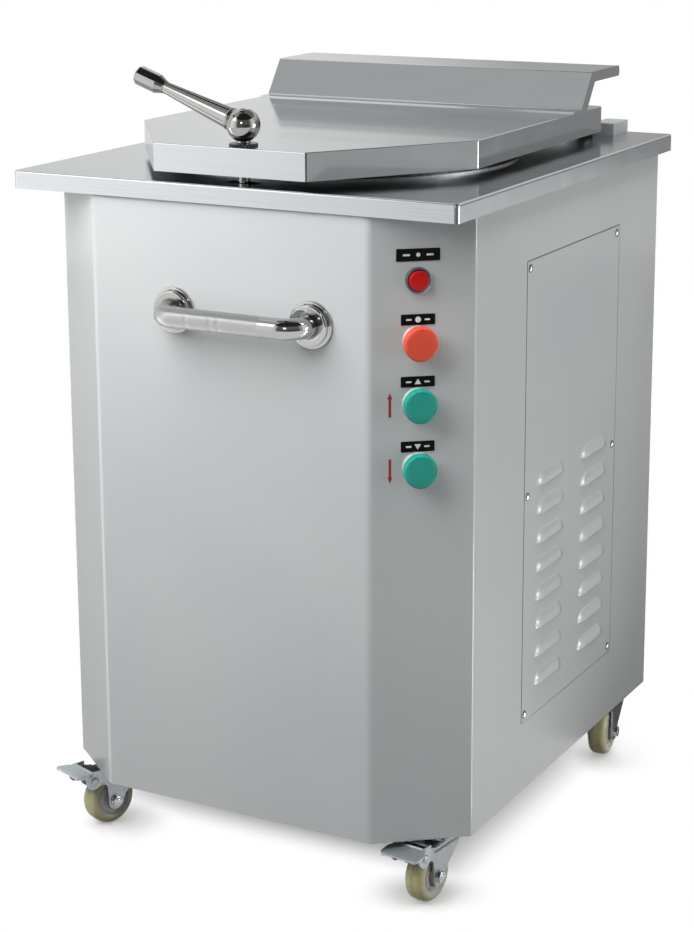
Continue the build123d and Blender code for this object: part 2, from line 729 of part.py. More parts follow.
def handle_flanges():
    """Round cover flanges at the handle's two ends."""
    bore = HANDLE_RADIUS + FLANGE_BORE_CLEARANCE
    flange = turned([
        (bore, 0),
        (FLANGE_DIAMETER / 2, 0),
        (FLANGE_DIAMETER / 2, FLANGE_BASE),
        (FLANGE_CUP_DIAMETER / 2, FLANGE_BASE),
        (FLANGE_CUP_DIAMETER / 2, FLANGE_DEPTH),
        (bore, FLANGE_DEPTH),
    ])
    brow = flange.edges().filter_by(GeomType.CIRCLE).filter_by(
        lambda e: abs(e.radius - FLANGE_CUP_DIAMETER / 2) < 1e-3).sort_by(Axis.Z)[-1]
    flange = fillet(brow, FLANGE_EDGE_RADIUS)
    z = TABLE_UNDER - HANDLE_DROP
    return [Pos(x, CABINET_FRONT, z) * Rot(90, 0, 0) * flange for x in handle_ends()]


def button_collars():
    """Collars of the three push buttons, each with the barrel through the panel."""
    stem_bore = BUTTON_STEM / 2 + BUTTON_STEM_CLEARANCE
    collar = turned([
        (stem_bore, -PANEL_SHEET - BARREL_TAIL),
        (PANEL_BARREL / 2, -PANEL_SHEET - BARREL_TAIL),
        (PANEL_BARREL / 2, 0),
        (COLLAR_DIAMETER / 2, 0),
        (COLLAR_DIAMETER / 2, COLLAR_PROUD - COLLAR_CHAMFER),
        (COLLAR_DIAMETER / 2 - COLLAR_CHAMFER, COLLAR_PROUD),
        (stem_bore, COLLAR_PROUD),
    ])
    return [place * collar for place in device_places()[1:]]


def mushroom_button(place):
    """Mushroom push button on its stem."""
    stem_top = COLLAR_PROUD + BUTTON_TRAVEL + BUTTON_GAP
    crown = stem_top + MUSHROOM_HEAD
    head = turned([
        (0, stem_top),
        (MUSHROOM_DIAMETER / 2, stem_top),
        (MUSHROOM_DIAMETER / 2, crown - MUSHROOM_CROWN),
        (MUSHROOM_DIAMETER / 4, crown - MUSHROOM_CROWN / 4),
        (0, crown),
    ])
    brow = head.edges().filter_by(GeomType.CIRCLE).filter_by(
        lambda e: abs(e.radius - MUSHROOM_DIAMETER / 2) < 1e-3).sort_by(Axis.Z)[-1]
    head = fillet(brow, MUSHROOM_EDGE_RADIUS)
    stem = disc(BUTTON_STEM / 2, (-BUTTON_STEM_TAIL, stem_top))
    return place * (head + stem)


def pilot_bezel():
    """Bezel and barrel of the pilot light."""
    seat = LENS_DIAMETER / 2 + LENS_CLEARANCE
    bezel = turned([
        (0, -PANEL_SHEET - BARREL_TAIL),
        (PANEL_BARREL / 2, -PANEL_SHEET - BARREL_TAIL),
        (PANEL_BARREL / 2, 0),
        (PILOT_DIAMETER / 2, 0),
        (PILOT_DIAMETER / 2, PILOT_PROUD - COLLAR_CHAMFER),
        (PILOT_DIAMETER / 2 - COLLAR_CHAMFER, PILOT_PROUD),
        (seat, PILOT_PROUD),
        (seat, PILOT_SEAT),
        (0, PILOT_SEAT),
    ])
    return device_places()[0] * bezel


def pilot_lens():
    """Domed lens seated in the pilot light's bezel."""
    radius = LENS_DIAMETER / 2
    rise = LENS_PROUD - PILOT_PROUD
    dome_radius = (radius**2 + rise**2) / (2 * rise)
    dome = Pos(0, 0, LENS_PROUD - dome_radius) * Sphere(dome_radius)
    lens = disc(radius, (PILOT_SEAT, LENS_PROUD + CUT)) & dome
    lens = lens & disc(radius + CUT, (PILOT_PROUD, LENS_PROUD + CUT))
    return device_places()[0] * (lens + disc(radius, (PILOT_SEAT, PILOT_PROUD)))


def switch_blocks():
    """Contact blocks behind the pilot light and the push buttons."""
    back = -PANEL_SHEET - BARREL_TAIL
    body = block((-SWITCH_WIDTH / 2, SWITCH_WIDTH / 2), (-SWITCH_HEIGHT / 2, SWITCH_HEIGHT / 2),
                 (back - SWITCH_DEPTH, back))
    return [place * body for place in device_places()]


def legend_plates():
    """Plain legend plates above the pilot light and the push buttons."""
    plates = []
    for place, is_pilot in zip(device_places(), (True, False, False, False)):
        width = PILOT_LEGEND_WIDTH if is_pilot else LEGEND_WIDTH
        height = PILOT_LEGEND_HEIGHT if is_pilot else LEGEND_HEIGHT
        rise = PILOT_LEGEND_RISE if is_pilot else LEGEND_RISE
        plates.append(place * block((-width / 2, width / 2), (rise - height / 2, rise + height / 2),
                                    (0, LEGEND_THICKNESS)))
    return plates


def lid_plan(inset):
    """The lid's outline in plan, with chamfered front corners and slightly eased corners."""
    half = LID_WIDTH / 2
    outline = Polygon(
        (-half, LID_REAR),
        (-half, LID_FRONT + LID_CHAMFER_BACK),
        (-half + LID_CHAMFER_ACROSS, LID_FRONT),
        (half - LID_CHAMFER_ACROSS, LID_FRONT),
        (half, LID_FRONT + LID_CHAMFER_BACK),
        (half, LID_REAR),
        align=None,
    )
    if inset > 0:
        return offset(outline, amount=-inset, kind=Kind.INTERSECTION)
    return fillet(outline.vertices(), LID_CORNER_RADIUS)


def bush_hole(z):
    """Hole through the lid for the latch bush's sleeve."""
    return disc(BUSH_SLEEVE / 2, z, LATCH_X, LATCH_Y)


def lid_shell():
    """Folded lid tray, open underneath."""
    shell = Pos(0, 0, LID_UNDER) * extrude(lid_plan(0), amount=LID_THICKNESS, dir=(0, 0, 1))
    shell = fillet(edges_at_height(shell, LID_TOP), LID_EDGE_RADIUS)
    room = Pos(0, 0, LID_UNDER - CUT) * extrude(lid_plan(LID_SHEET), amount=LID_THICKNESS + CUT - LID_SHEET,
                                              dir=(0, 0, 1))
    return shell - room - bush_hole((LID_UNDER, LID_TOP + CUT))


def lid_press_plate():
    """Closing plate inside the lid tray, with the pressing disc below it."""
    plate = Pos(0, 0, LID_UNDER) * extrude(lid_plan(LID_SHEET), amount=CLOSING_PLATE, dir=(0, 0, 1))
    disc_foot = TABLE_HEIGHT + CHAMBER_RIM + PRESS_DISC_GAP
    plate += disc(PRESS_DISC_RADIUS, (disc_foot, LID_UNDER), 0, CHAMBER_Y)
    return plate - bush_hole((LID_UNDER - CUT, LID_TOP))


def lid_upstand():
    """Hollow sloping wall and shelf across the rear of the lid, with a foot flange in front."""
    foot = LID_FRONT + UPSTAND_FROM_FRONT
    brow = foot + UPSTAND_LEAN
    top = LID_TOP + UPSTAND_HEIGHT
    shelf_under = top - SHELF_THICKNESS
    back = foot + UPSTAND_THICKNESS
    inner_back = back + UPSTAND_LEAN * (UPSTAND_HEIGHT - SHELF_THICKNESS) / UPSTAND_HEIGHT
    shelf_rear = brow + SHELF_DEPTH
    flange_top = LID_TOP + UPSTAND_FOOT_SHEET
    slope_at_flange = foot + UPSTAND_LEAN * UPSTAND_FOOT_SHEET / UPSTAND_HEIGHT
    half = LID_WIDTH / 2
    wall = slab_along_x([
        (foot - UPSTAND_FOOT_FLANGE, LID_TOP),
        (foot - UPSTAND_FOOT_FLANGE, flange_top),
        (slope_at_flange, flange_top),
        (brow, top),
        (shelf_rear, top),
        (shelf_rear, shelf_under),
        (inner_back, shelf_under),
        (back, LID_TOP),
    ], (-half, half))
    long_edges = wall.edges().filter_by(Axis.X)

    def near(y, z):
        return long_edges.sort_by_distance((0, y, z))[0]

    wall = fillet([near(brow, top), near(shelf_rear, top), near(shelf_rear, shelf_under),
                   near(inner_back, shelf_under)], UPSTAND_EDGE_RADIUS)
    foot_edge = wall.edges().filter_by(Axis.X).sort_by_distance((0, slope_at_flange, flange_top))[0]
    wall = fillet(foot_edge, UPSTAND_FOOT_RADIUS)
    sheet = UPSTAND_SHEET
    slope = UPSTAND_LEAN / UPSTAND_HEIGHT
    skew = sheet * math.hypot(1, slope)
    room = slab_along_x([
        (foot + skew, LID_TOP),
        (brow - slope * sheet + skew, top - sheet),
        (shelf_rear - sheet, top - sheet),
        (shelf_rear - sheet, shelf_under + sheet),
        (inner_back + slope * sheet - skew, shelf_under + sheet),
        (back - skew, LID_TOP),
    ], (-half + sheet, half - sheet))
    return wall - room


def hinge_block_limits():
    """X limits of the right hinge block."""
    return (HINGE_BLOCK_X - HINGE_BLOCK_WIDTH, HINGE_BLOCK_X)


def hinge_lug_limits():
    """X limits of the right hinge lug, beside its block."""
    outer = hinge_block_limits()[0] - HINGE_LUG_GAP
    return (outer - HINGE_LUG_WIDTH, outer)


def hinge_pin_limits():
    """X limits of the right hinge pin, blind in its block."""
    return (hinge_lug_limits()[0], HINGE_BLOCK_X - HINGE_BLOCK_SKIN)


def hinge_blocks():
    """Blocks on the table that hold the hinge pins."""
    right = block(hinge_block_limits(), (TABLE_REAR - HINGE_BLOCK_LENGTH, TABLE_REAR),
                  (TABLE_HEIGHT, TABLE_HEIGHT + HINGE_BLOCK_HEIGHT))
    right = fillet(edges_at_height(right, TABLE_HEIGHT + HINGE_BLOCK_HEIGHT), HINGE_BLOCK_EDGE_RADIUS)
    bore_x = (hinge_block_limits()[0] - CUT, hinge_pin_limits()[1])
    right -= rod_along_x(HINGE_PIN / 2, bore_x, HINGE_Y, HINGE_Z)
    return [mirrored(right), right]


def hinge_pins():
    """Hinge pins, fixed in the blocks."""
    right = rod_along_x(HINGE_PIN / 2, hinge_pin_limits(), HINGE_Y, HINGE_Z)
    return [mirrored(right), right]


def hinge_lugs():
    """Lugs behind the lid that turn on the hinge pins."""
    x = hinge_lug_limits()
    root_foot = LID_UNDER + LID_SHEET
    arm = slab_along_x([
        (LID_REAR, root_foot),
        (HINGE_Y, HINGE_Z - HINGE_LUG_RADIUS),
        (HINGE_Y, HINGE_Z + HINGE_LUG_RADIUS),
        (LID_REAR, root_foot + HINGE_LUG_ROOT),
    ], x)
    lug = arm + rod_along_x(HINGE_LUG_RADIUS, x, HINGE_Y, HINGE_Z)
    lug -= rod_along_x(HINGE_PIN / 2 + HINGE_PIN_CLEARANCE, (x[0] - CUT, x[1] + CUT), HINGE_Y, HINGE_Z)
    return [mirrored(lug), lug]


def latch_bush():
    """Flanged bush through the lid that the spindle turns in."""
    bore = SPINDLE / 2 + SPINDLE_CLEARANCE
    bush = turned([
        (bore, LID_UNDER),
        (BUSH_SLEEVE / 2, LID_UNDER),
        (BUSH_SLEEVE / 2, LID_TOP),
        (BUSH_FLANGE / 2, LID_TOP),
        (BUSH_FLANGE / 2, LID_TOP + BUSH_FLANGE_THICKNESS),
        (bore, LID_TOP + BUSH_FLANGE_THICKNESS),
    ])
    return Pos(LATCH_X, LATCH_Y, 0) * bush


def lever_seat():
    """Height where the spindle meets the lever's neck."""
    return LID_TOP + BUSH_FLANGE_THICKNESS + LEVER_NECK_GAP


def latch_spindle():
    """Spindle through the lid, with the cross bar that locks under the table."""
    bar_top = TABLE_UNDER - KEEPER_THICKNESS - KEEPER_GAP
    half_x = CROSS_BAR_LENGTH / 2
    half_y = CROSS_BAR_WIDTH / 2
    shaft = disc(SPINDLE / 2, (bar_top, lever_seat()), LATCH_X, LATCH_Y)
    bar = block((LATCH_X - half_x, LATCH_X + half_x), (LATCH_Y - half_y, LATCH_Y + half_y),
                (bar_top - CROSS_BAR_HEIGHT, bar_top))
    return shaft + bar


def lever_frame():
    """Place at the ball's centre, with local Z along the arm."""
    slope = math.radians(LEVER_SLOPE_DEGREES)
    return Plane(origin=(LATCH_X, LATCH_Y, LID_TOP + LEVER_BALL_RISE),
                 x_dir=(0, 1, 0), z_dir=(-math.cos(slope), 0, math.sin(slope))).location


def clamp_lever():
    """Ball and tapered arm of the clamp lever, with the neck under the ball."""
    arm = turned([
        (0, 0),
        (LEVER_ARM_ROOT / 2, 0),
        (LEVER_ARM_TIP / 2, LEVER_ARM_LENGTH),
        (0, LEVER_ARM_LENGTH),
    ])
    neck = disc(LEVER_NECK / 2, (lever_seat(), LID_TOP + LEVER_BALL_RISE), LATCH_X, LATCH_Y)
    ball = Pos(LATCH_X, LATCH_Y, LID_TOP + LEVER_BALL_RISE) * Sphere(LEVER_BALL / 2)
    return ball + lever_frame() * arm + neck


def lever_knob():
    """Faceted knob on the arm's end, with a cone at its root."""
    cone_end = LEVER_ARM_LENGTH + KNOB_CONE
    end = LEVER_ARM_LENGTH + KNOB_LENGTH
    grip = extrude(RegularPolygon(KNOB_ACROSS / 2, KNOB_SIDES, major_radius=False),
                   amount=KNOB_LENGTH, dir=(0, 0, 1))
    corner = KNOB_ACROSS / 2 / math.cos(math.pi / KNOB_SIDES)
    blank = turned([
        (0, LEVER_ARM_LENGTH),
        (LEVER_ARM_TIP / 2, LEVER_ARM_LENGTH),
        (corner, cone_end),
        (corner, end - KNOB_END_CHAMFER),
        (corner - KNOB_END_CHAMFER, end),
        (0, end),
    ])
    return lever_frame() * (Pos(0, 0, LEVER_ARM_LENGTH) * grip & blank)


def pad_gap():
    """Width of the gap that a knife runs in."""
    return KNIFE + 2 * KNIFE_CLEARANCE


def ring_of_walls(count, start, end, width, z):
    """Upright radial walls, evenly spaced round the chamber's axis."""
    walls = []
    for index in range(count):
        wall = block((start, end), (-width / 2, width / 2), z)
        walls.append(Rot(0, 0, 360 * index / count + 90) * wall)
    return walls


def pad_ring(inner, outer, count):
    """One ring of sector pads, cut from a disc by the knife gaps."""
    z = (PAD_UNDER, PAD_TOP)
    ring = disc(outer, z) - disc(inner, z)
    for wall in ring_of_walls(count, 0, outer + CUT, pad_gap(), z):
        ring -= wall
    return [pad.chamfer(PAD_EDGE_CHAMFER, None, edges_at_height(pad, PAD_TOP)) for pad in ring.solids()]


def press_pads():
    """Inner and outer rings of pressing pads."""
    half_gap = pad_gap() / 2
    inner = pad_ring(KNIFE_HUB / 2 + KNIFE_CLEARANCE, PAD_SPLIT_RADIUS - half_gap, INNER_PADS)
    outer = pad_ring(PAD_SPLIT_RADIUS + half_gap, CHAMBER_RADIUS - PAD_WALL_GAP, OUTER_PADS)
    return [Pos(0, CHAMBER_Y, 0) * pad for pad in inner + outer]


def post_places():
    """(x, y) places of the pads' posts, one in the middle of each pad."""
    rings = (
        (INNER_PADS, INNER_POST_RADIUS),
        (OUTER_PADS, OUTER_POST_RADIUS),
    )
    places = []
    for count, radius in rings:
        for index in range(count):
            angle = math.radians(360 * (index + 0.5) / count + 90)
            places.append((radius * math.cos(angle), CHAMBER_Y + radius * math.sin(angle)))
    return places


def press_carrier():
    """Plate under the knife carrier with the posts that carry the pads."""
    carrier = disc(CARRIER_RADIUS, (PRESS_CARRIER_UNDER, PRESS_CARRIER_TOP), 0, CHAMBER_Y)
    hole_z = (PRESS_CARRIER_UNDER - CUT, PRESS_CARRIER_TOP + CUT)
    carrier -= disc(ROD / 2 + ROD_HOLE_CLEARANCE, hole_z, 0, CHAMBER_Y)
    for x, y in post_places():
        carrier += disc(POST / 2, (PRESS_CARRIER_TOP, PAD_UNDER), x, y)
    return carrier


def knife_carrier():
    """Plate that carries the knives, drilled for the pads' posts."""
    plate = disc(CARRIER_RADIUS, (KNIFE_CARRIER_UNDER, KNIFE_FOOT), 0, CHAMBER_Y)
    for x, y in post_places():
        plate -= disc(POST / 2 + POST_CLEARANCE, (KNIFE_CARRIER_UNDER - CUT, KNIFE_FOOT + CUT), x, y)
    return plate


def knife_grid():
    """Welded knives: a hub, inner radial blades, a ring in arcs and outer radial blades through it."""
    z = (KNIFE_FOOT, KNIFE_TOP)
    reach = min(CARRIER_RADIUS, CHAMBER_RADIUS - PAD_WALL_GAP)
    ring_inner = PAD_SPLIT_RADIUS - KNIFE / 2
    hub = disc(KNIFE_HUB / 2, z)
    ring_room = disc(ring_inner, z)
    arcs = disc(PAD_SPLIT_RADIUS + KNIFE / 2, z) - ring_room
    outer_blades = ring_of_walls(OUTER_PADS, ring_inner, reach, KNIFE, z)
    for blade in outer_blades:
        arcs -= blade
    blades = [blade - ring_room for blade in outer_blades]
    for blade in ring_of_walls(INNER_PADS, 0, PAD_SPLIT_RADIUS, KNIFE, z):
        blades.append(blade & ring_room - hub)
    return [Pos(0, CHAMBER_Y, 0) * knife for knife in [hub] + blades + arcs.solids()]


def cylinder_barrel():
    """Cylinder with its end cap, rod gland, mounting flange and two ports."""
    bore = CYLINDER_BORE / 2
    barrel = disc(CYLINDER_RADIUS, (CYLINDER_FOOT, CYLINDER_TOP), 0, CHAMBER_Y)
    barrel += disc(CYLINDER_FLANGE_RADIUS, (BEAM_TOP, BEAM_TOP + CYLINDER_FLANGE), 0, CHAMBER_Y)
    for z in cylinder_port_heights():
        barrel += rod_along_x(CYLINDER_PORT / 2, (0, CYLINDER_RADIUS + CYLINDER_PORT_REACH), CHAMBER_Y, z)
    bore_z = (CYLINDER_FOOT + CYLINDER_CAP, CYLINDER_TOP - CYLINDER_GLAND)
    gland_z = (bore_z[1] - CUT, CYLINDER_TOP + CUT)
    barrel -= disc(bore + ROD_CLEARANCE, bore_z, 0, CHAMBER_Y)
    return barrel - disc(ROD / 2 + ROD_CLEARANCE, gland_z, 0, CHAMBER_Y)


def cylinder_port_heights():
    """Heights of the cylinder's two hose ports, below its mounting flange and near its foot."""
    return (BEAM_TOP - CYLINDER_PORT_INSET, CYLINDER_FOOT + CYLINDER_PORT_INSET)


def piston_rod():
    """Piston and rod, reaching up to the knife carrier."""
    foot = CYLINDER_FOOT + CYLINDER_CAP + PISTON_REST
    piston = disc(CYLINDER_BORE / 2, (foot, foot + PISTON), 0, CHAMBER_Y)
    return piston + disc(ROD / 2, (foot, KNIFE_CARRIER_UNDER), 0, CHAMBER_Y)


def pump_limits():
    """X, Y and Z limits of the pump block on the base plate."""
    return ((MOTOR_X - PUMP_WIDTH / 2, MOTOR_X + PUMP_WIDTH / 2),
            (CHAMBER_Y - PUMP_LENGTH / 2, CHAMBER_Y + PUMP_LENGTH / 2),
            (BASE_TOP, BASE_TOP + PUMP_HEIGHT))


def hydraulic_pump():
    """Pump and valve block at the motor's front end."""
    return block(*pump_limits())


def drive_motor():
    """Foot-mounted electric motor behind the pump block."""
    y0 = pump_limits()[1][1]
    z = BASE_TOP + MOTOR_FOOT + MOTOR_DIAMETER / 2
    y = (y0, y0 + MOTOR_LENGTH)
    shell = rod_along_y(MOTOR_DIAMETER / 2, MOTOR_X, y, z)
    half = MOTOR_FOOT_WIDTH / 2
    return shell + block((MOTOR_X - half, MOTOR_X + half), y, (BASE_TOP, z))


def oil_tank():
    """Sheet oil tank beside the pump, with a filler hole in its top."""
    right = pump_limits()[0][0] - TANK_FROM_PUMP
    x = (right - TANK_WIDTH, right)
    y = (CHAMBER_Y - PUMP_LENGTH / 2, CHAMBER_Y - PUMP_LENGTH / 2 + TANK_LENGTH)
    z = (BASE_TOP, BASE_TOP + TANK_HEIGHT)
    room = [(low + TANK_SHEET, high - TANK_SHEET) for low, high in (x, y, z)]
    filler = disc(TANK_FILLER / 2, (z[1] - 2 * TANK_SHEET, z[1] + CUT), sum(x) / 2, sum(y) / 2)
    return block(x, y, z) - block(*room) - filler


def hydraulic_hoses():
    """Two pressure hoses from the pump block to the cylinder, and the suction pipe."""
    pump_top = pump_limits()[2][1]
    port_x = CYLINDER_RADIUS + CYLINDER_PORT_REACH
    hoses = []
    for side, z in zip((1, -1), cylinder_port_heights()):
        x = MOTOR_X + side * HOSE_SPACING / 2
        path = FilletPolyline((x, CHAMBER_Y, pump_top), (x, CHAMBER_Y, z), (port_x, CHAMBER_Y, z),
                              radius=HOSE_BEND_RADIUS)
        start = Plane(origin=(x, CHAMBER_Y, pump_top), z_dir=(0, 0, 1))
        hoses.append(sweep(start * (Circle(HOSE / 2) - Circle(HOSE_BORE / 2)), path=path))
    left = pump_limits()[0][0] - TANK_FROM_PUMP
    hoses.append(rod_along_x(HOSE / 2, (left, pump_limits()[0][0]), CHAMBER_Y, BASE_TOP + SUCTION_RISE))
    return hoses


def control_box():
    """Electrical box of thin sheet on the base plate, open towards that plate."""
    y0 = CABINET_FRONT + CONTROL_BOX_FROM_FRONT
    half = CONTROL_BOX_WIDTH / 2
    sheet = CONTROL_BOX_SHEET
    top = BASE_TOP + CONTROL_BOX_HEIGHT
    box = block((-half, half), (y0, y0 + CONTROL_BOX_DEPTH), (BASE_TOP, top))
    return box - block((-half + sheet, half - sheet), (y0 + sheet, y0 + CONTROL_BOX_DEPTH - sheet),
                       (BASE_TOP - CUT, top - sheet))


def cable_gland():
    """Cable gland in the rear panel, with its nut inside."""
    bore = GLAND_BORE / 2
    body = GLAND_BODY / 2
    flange = GLAND_FLANGE / 2
    inner_face = -PANEL_SHEET
    gland = turned([
        (bore, -GLAND_TAIL),
        (body, -GLAND_TAIL),
        (body, inner_face - GLAND_NUT),
        (flange, inner_face - GLAND_NUT),
        (flange, inner_face),
        (body, inner_face),
        (body, 0),
        (flange, 0),
        (flange, GLAND_FLANGE_THICKNESS),
        (body, GLAND_FLANGE_THICKNESS),
        (body - GLAND_TAPER, GLAND_PROUD),
        (bore, GLAND_PROUD),
    ])
    return Pos(GLAND_X, CABINET_REAR, CABINET_FOOT + GLAND_RISE) * Rot(-90, 0, 0) * gland


def caster_plates():
    """Caster top plates, each with its fixed king pin."""
    half = CASTER_PLATE / 2
    plates = []
    for name, (x, y) in CASTER_PLACES.items():
        plate = block((x - half, x + half), (y - half, y + half), (CASTER_PLATE_UNDER, CABINET_FOOT))
        for bx, by in caster_bolt_places(name):
            plate -= disc(CASTER_BOLT / 2 + CASTER_BOLT_CLEARANCE,
                          (CASTER_PLATE_UNDER - CUT, CABINET_FOOT + CUT), bx, by)
        head_top = YOKE_UNDER - SWIVEL_GAP
        plate += disc(KING_PIN / 2, (head_top, CASTER_PLATE_UNDER), x, y)
        plate += disc(KING_PIN_HEAD / 2, (head_top - KING_PIN_HEAD_HEIGHT, head_top), x, y)
        plates.append(plate)
    return plates


def caster_bolts():
    """Bolts that hold the caster plates up to the base plate."""
    head_z = (CASTER_PLATE_UNDER - CASTER_BOLT_HEAD_HEIGHT, CASTER_PLATE_UNDER)
    bolts = []
    for name in CASTER_PLACES:
        for x, y in caster_bolt_places(name):
            head = hex_prism(CASTER_BOLT_HEAD, head_z, x, y)
            bolts.append(head + disc(CASTER_BOLT / 2, (CASTER_PLATE_UNDER, BASE_TOP), x, y))
    return bolts


def caster_place(name):
    """Place of a caster on the floor: local X runs from the swivel axis towards its wheel."""
    x, y = CASTER_PLACES[name]
    return Pos(x, y, 0) * Rot(0, 0, CASTER_HEADINGS[name])


def fork_leg(braked, y):
    """One tapered leg with a round foot, and an arm with a round ear for the pedal where it is braked."""
    leg = slab_along_y([
        (-YOKE_BACK, CROWN_UNDER),
        (YOKE_FRONT, CROWN_UNDER),
        (CASTER_TRAIL + LEG_FOOT_RADIUS, AXLE_Z),
        (CASTER_TRAIL - LEG_FOOT_RADIUS, AXLE_Z),
        (-YOKE_BACK, CROWN_UNDER - LEG_SHOULDER),
    ], y)
    leg += rod_along_y(LEG_FOOT_RADIUS, CASTER_TRAIL, y, AXLE_Z)
    if braked:
        leg += slab_along_y([
            (CASTER_TRAIL, CROWN_UNDER),
            (YOKE_FRONT, CROWN_UNDER),
            (PEDAL_PIVOT_U, PEDAL_PIVOT_Z + PEDAL_LEG_RADIUS),
            (PEDAL_PIVOT_U, PEDAL_PIVOT_Z - PEDAL_LEG_RADIUS),
            (CASTER_TRAIL, PEDAL_PIVOT_Z - PEDAL_LEG_RADIUS),
        ], y)
        leg += rod_along_y(PEDAL_LEG_RADIUS, PEDAL_PIVOT_U, y, PEDAL_PIVOT_Z)
    return leg


def caster_fork(name):
    """Swivel crown, yoke and two legs of one caster."""
    braked = name in BRAKED_CASTERS
    fork = disc(CROWN_DIAMETER / 2, (CROWN_UNDER, CROWN_TOP))
    fork = chamfer(edges_at_height(fork, CROWN_TOP), CROWN_CHAMFER)
    fork += block((-YOKE_BACK, YOKE_FRONT), (-LEG_OUTER, LEG_OUTER), (YOKE_UNDER, CROWN_UNDER))
    for y in ((-LEG_OUTER, -LEG_INNER), (LEG_INNER, LEG_OUTER)):
        fork += fork_leg(braked, y)
    across = (-LEG_OUTER - CUT, LEG_OUTER + CUT)
    fork -= disc(KING_PIN / 2 + KING_PIN_CLEARANCE, (YOKE_UNDER - CUT, CROWN_TOP + CUT))
    fork -= rod_along_y(AXLE / 2 + AXLE_CLEARANCE, CASTER_TRAIL, across, AXLE_Z)
    if braked:
        fork -= rod_along_y(PEDAL_PIN / 2 + AXLE_CLEARANCE, PEDAL_PIVOT_U, across, PEDAL_PIVOT_Z)
    return caster_place(name) * fork


def caster_axle(name):
    """Axle bolt with its head and nut outside the legs."""
    axle = disc(AXLE / 2, (-LEG_OUTER, LEG_OUTER))
    axle += hex_prism(AXLE_HEAD, (LEG_OUTER, LEG_OUTER + AXLE_HEAD_HEIGHT))
    axle += hex_prism(AXLE_HEAD, (-LEG_OUTER - AXLE_HEAD_HEIGHT, -LEG_OUTER))
    return caster_place(name) * Pos(CASTER_TRAIL, 0, AXLE_Z) * Rot(90, 0, 0) * axle


def caster_wheel(name):
    """Wheel with a rounded tread, dished sides and a hub."""
    half = WHEEL_WIDTH / 2
    wheel = disc(WHEEL_DIAMETER / 2, (-half, half))
    wheel = fillet(wheel.edges().filter_by(GeomType.CIRCLE), WHEEL_TREAD_RADIUS)
    for low, high in ((-half, -half + WHEEL_RECESS), (half - WHEEL_RECESS, half)):
        wheel -= disc(WHEEL_RECESS_RADIUS, (low, high)) - disc(WHEEL_HUB_RADIUS, (low, high))
    wheel -= disc(AXLE / 2 + AXLE_CLEARANCE, (-half - CUT, half + CUT))
    return caster_place(name) * Pos(CASTER_TRAIL, 0, AXLE_Z) * Rot(90, 0, 0) * wheel


def brake_pedal(name):
    """Brake pedal: flared tread plate, two ears, pivot pin and the brake tongue."""
    u = PEDAL_PIVOT_U
    z = PEDAL_PIVOT_Z
    sheet = PEDAL_SHEET
    half = PEDAL_WIDTH / 2
    ear_inner = LEG_OUTER + PEDAL_EAR_GAP
    ear_outer = ear_inner + PEDAL_EAR
    back = u - PEDAL_BACK
    tip = u + PEDAL_REACH
    flare = u + PEDAL_FLARE
    line = [
        (back, z + PEDAL_BACK_RISE),
        (u + PEDAL_CREST, z + PEDAL_CREST_RISE),
        (flare, z + PEDAL_TIP_RISE + PEDAL_TIP_DROP),
        (tip, z + PEDAL_TIP_RISE),
    ]
    under = [(pu, pz - sheet) for pu, pz in reversed(line)]
    tread = slab_along_y(line + under, (-half, half))
    plan = [
        (back, ear_outer),
        (u, ear_outer),
        (flare, half),
        (tip - PEDAL_TIP_CORNER, half),
        (tip, half - PEDAL_TIP_CORNER),
    ]
    plan += [(pu, -pv) for pu, pv in reversed(plan)]
    pedal = tread & slab_upright(plan, (z, z + PEDAL_BACK_RISE))
    radius = PEDAL_EAR_RADIUS
    ear = [
        (back, z + PEDAL_BACK_RISE - sheet),
        (u - radius, z),
        (u, z - radius),
        (u + radius, z),
        (flare, z + PEDAL_TIP_RISE + PEDAL_TIP_DROP - sheet),
        (u + PEDAL_CREST, z + PEDAL_CREST_RISE - sheet),
    ]
    for y in ((-ear_outer, -ear_inner), (ear_inner, ear_outer)):
        pedal += slab_along_y(ear, y)
    pin_reach = ear_outer + PEDAL_PIN_HEAD
    pedal += rod_along_y(PEDAL_PIN / 2, u, (-pin_reach, pin_reach), z)
    tongue = [
        (u + PEDAL_TONGUE_ROOT, z + PEDAL_TIP_RISE),
        (u + PEDAL_TONGUE_ROOT + PEDAL_TONGUE_SHEET, z + PEDAL_TIP_RISE - sheet / 2),
        (u + PEDAL_TONGUE_SHEET, z - PEDAL_TONGUE_DROP),
        (u, z - PEDAL_TONGUE_DROP),
    ]
    half_tongue = PEDAL_TONGUE_WIDTH / 2
    pedal += slab_along_y(tongue, (-half_tongue, half_tongue))
    return caster_place(name) * pedal


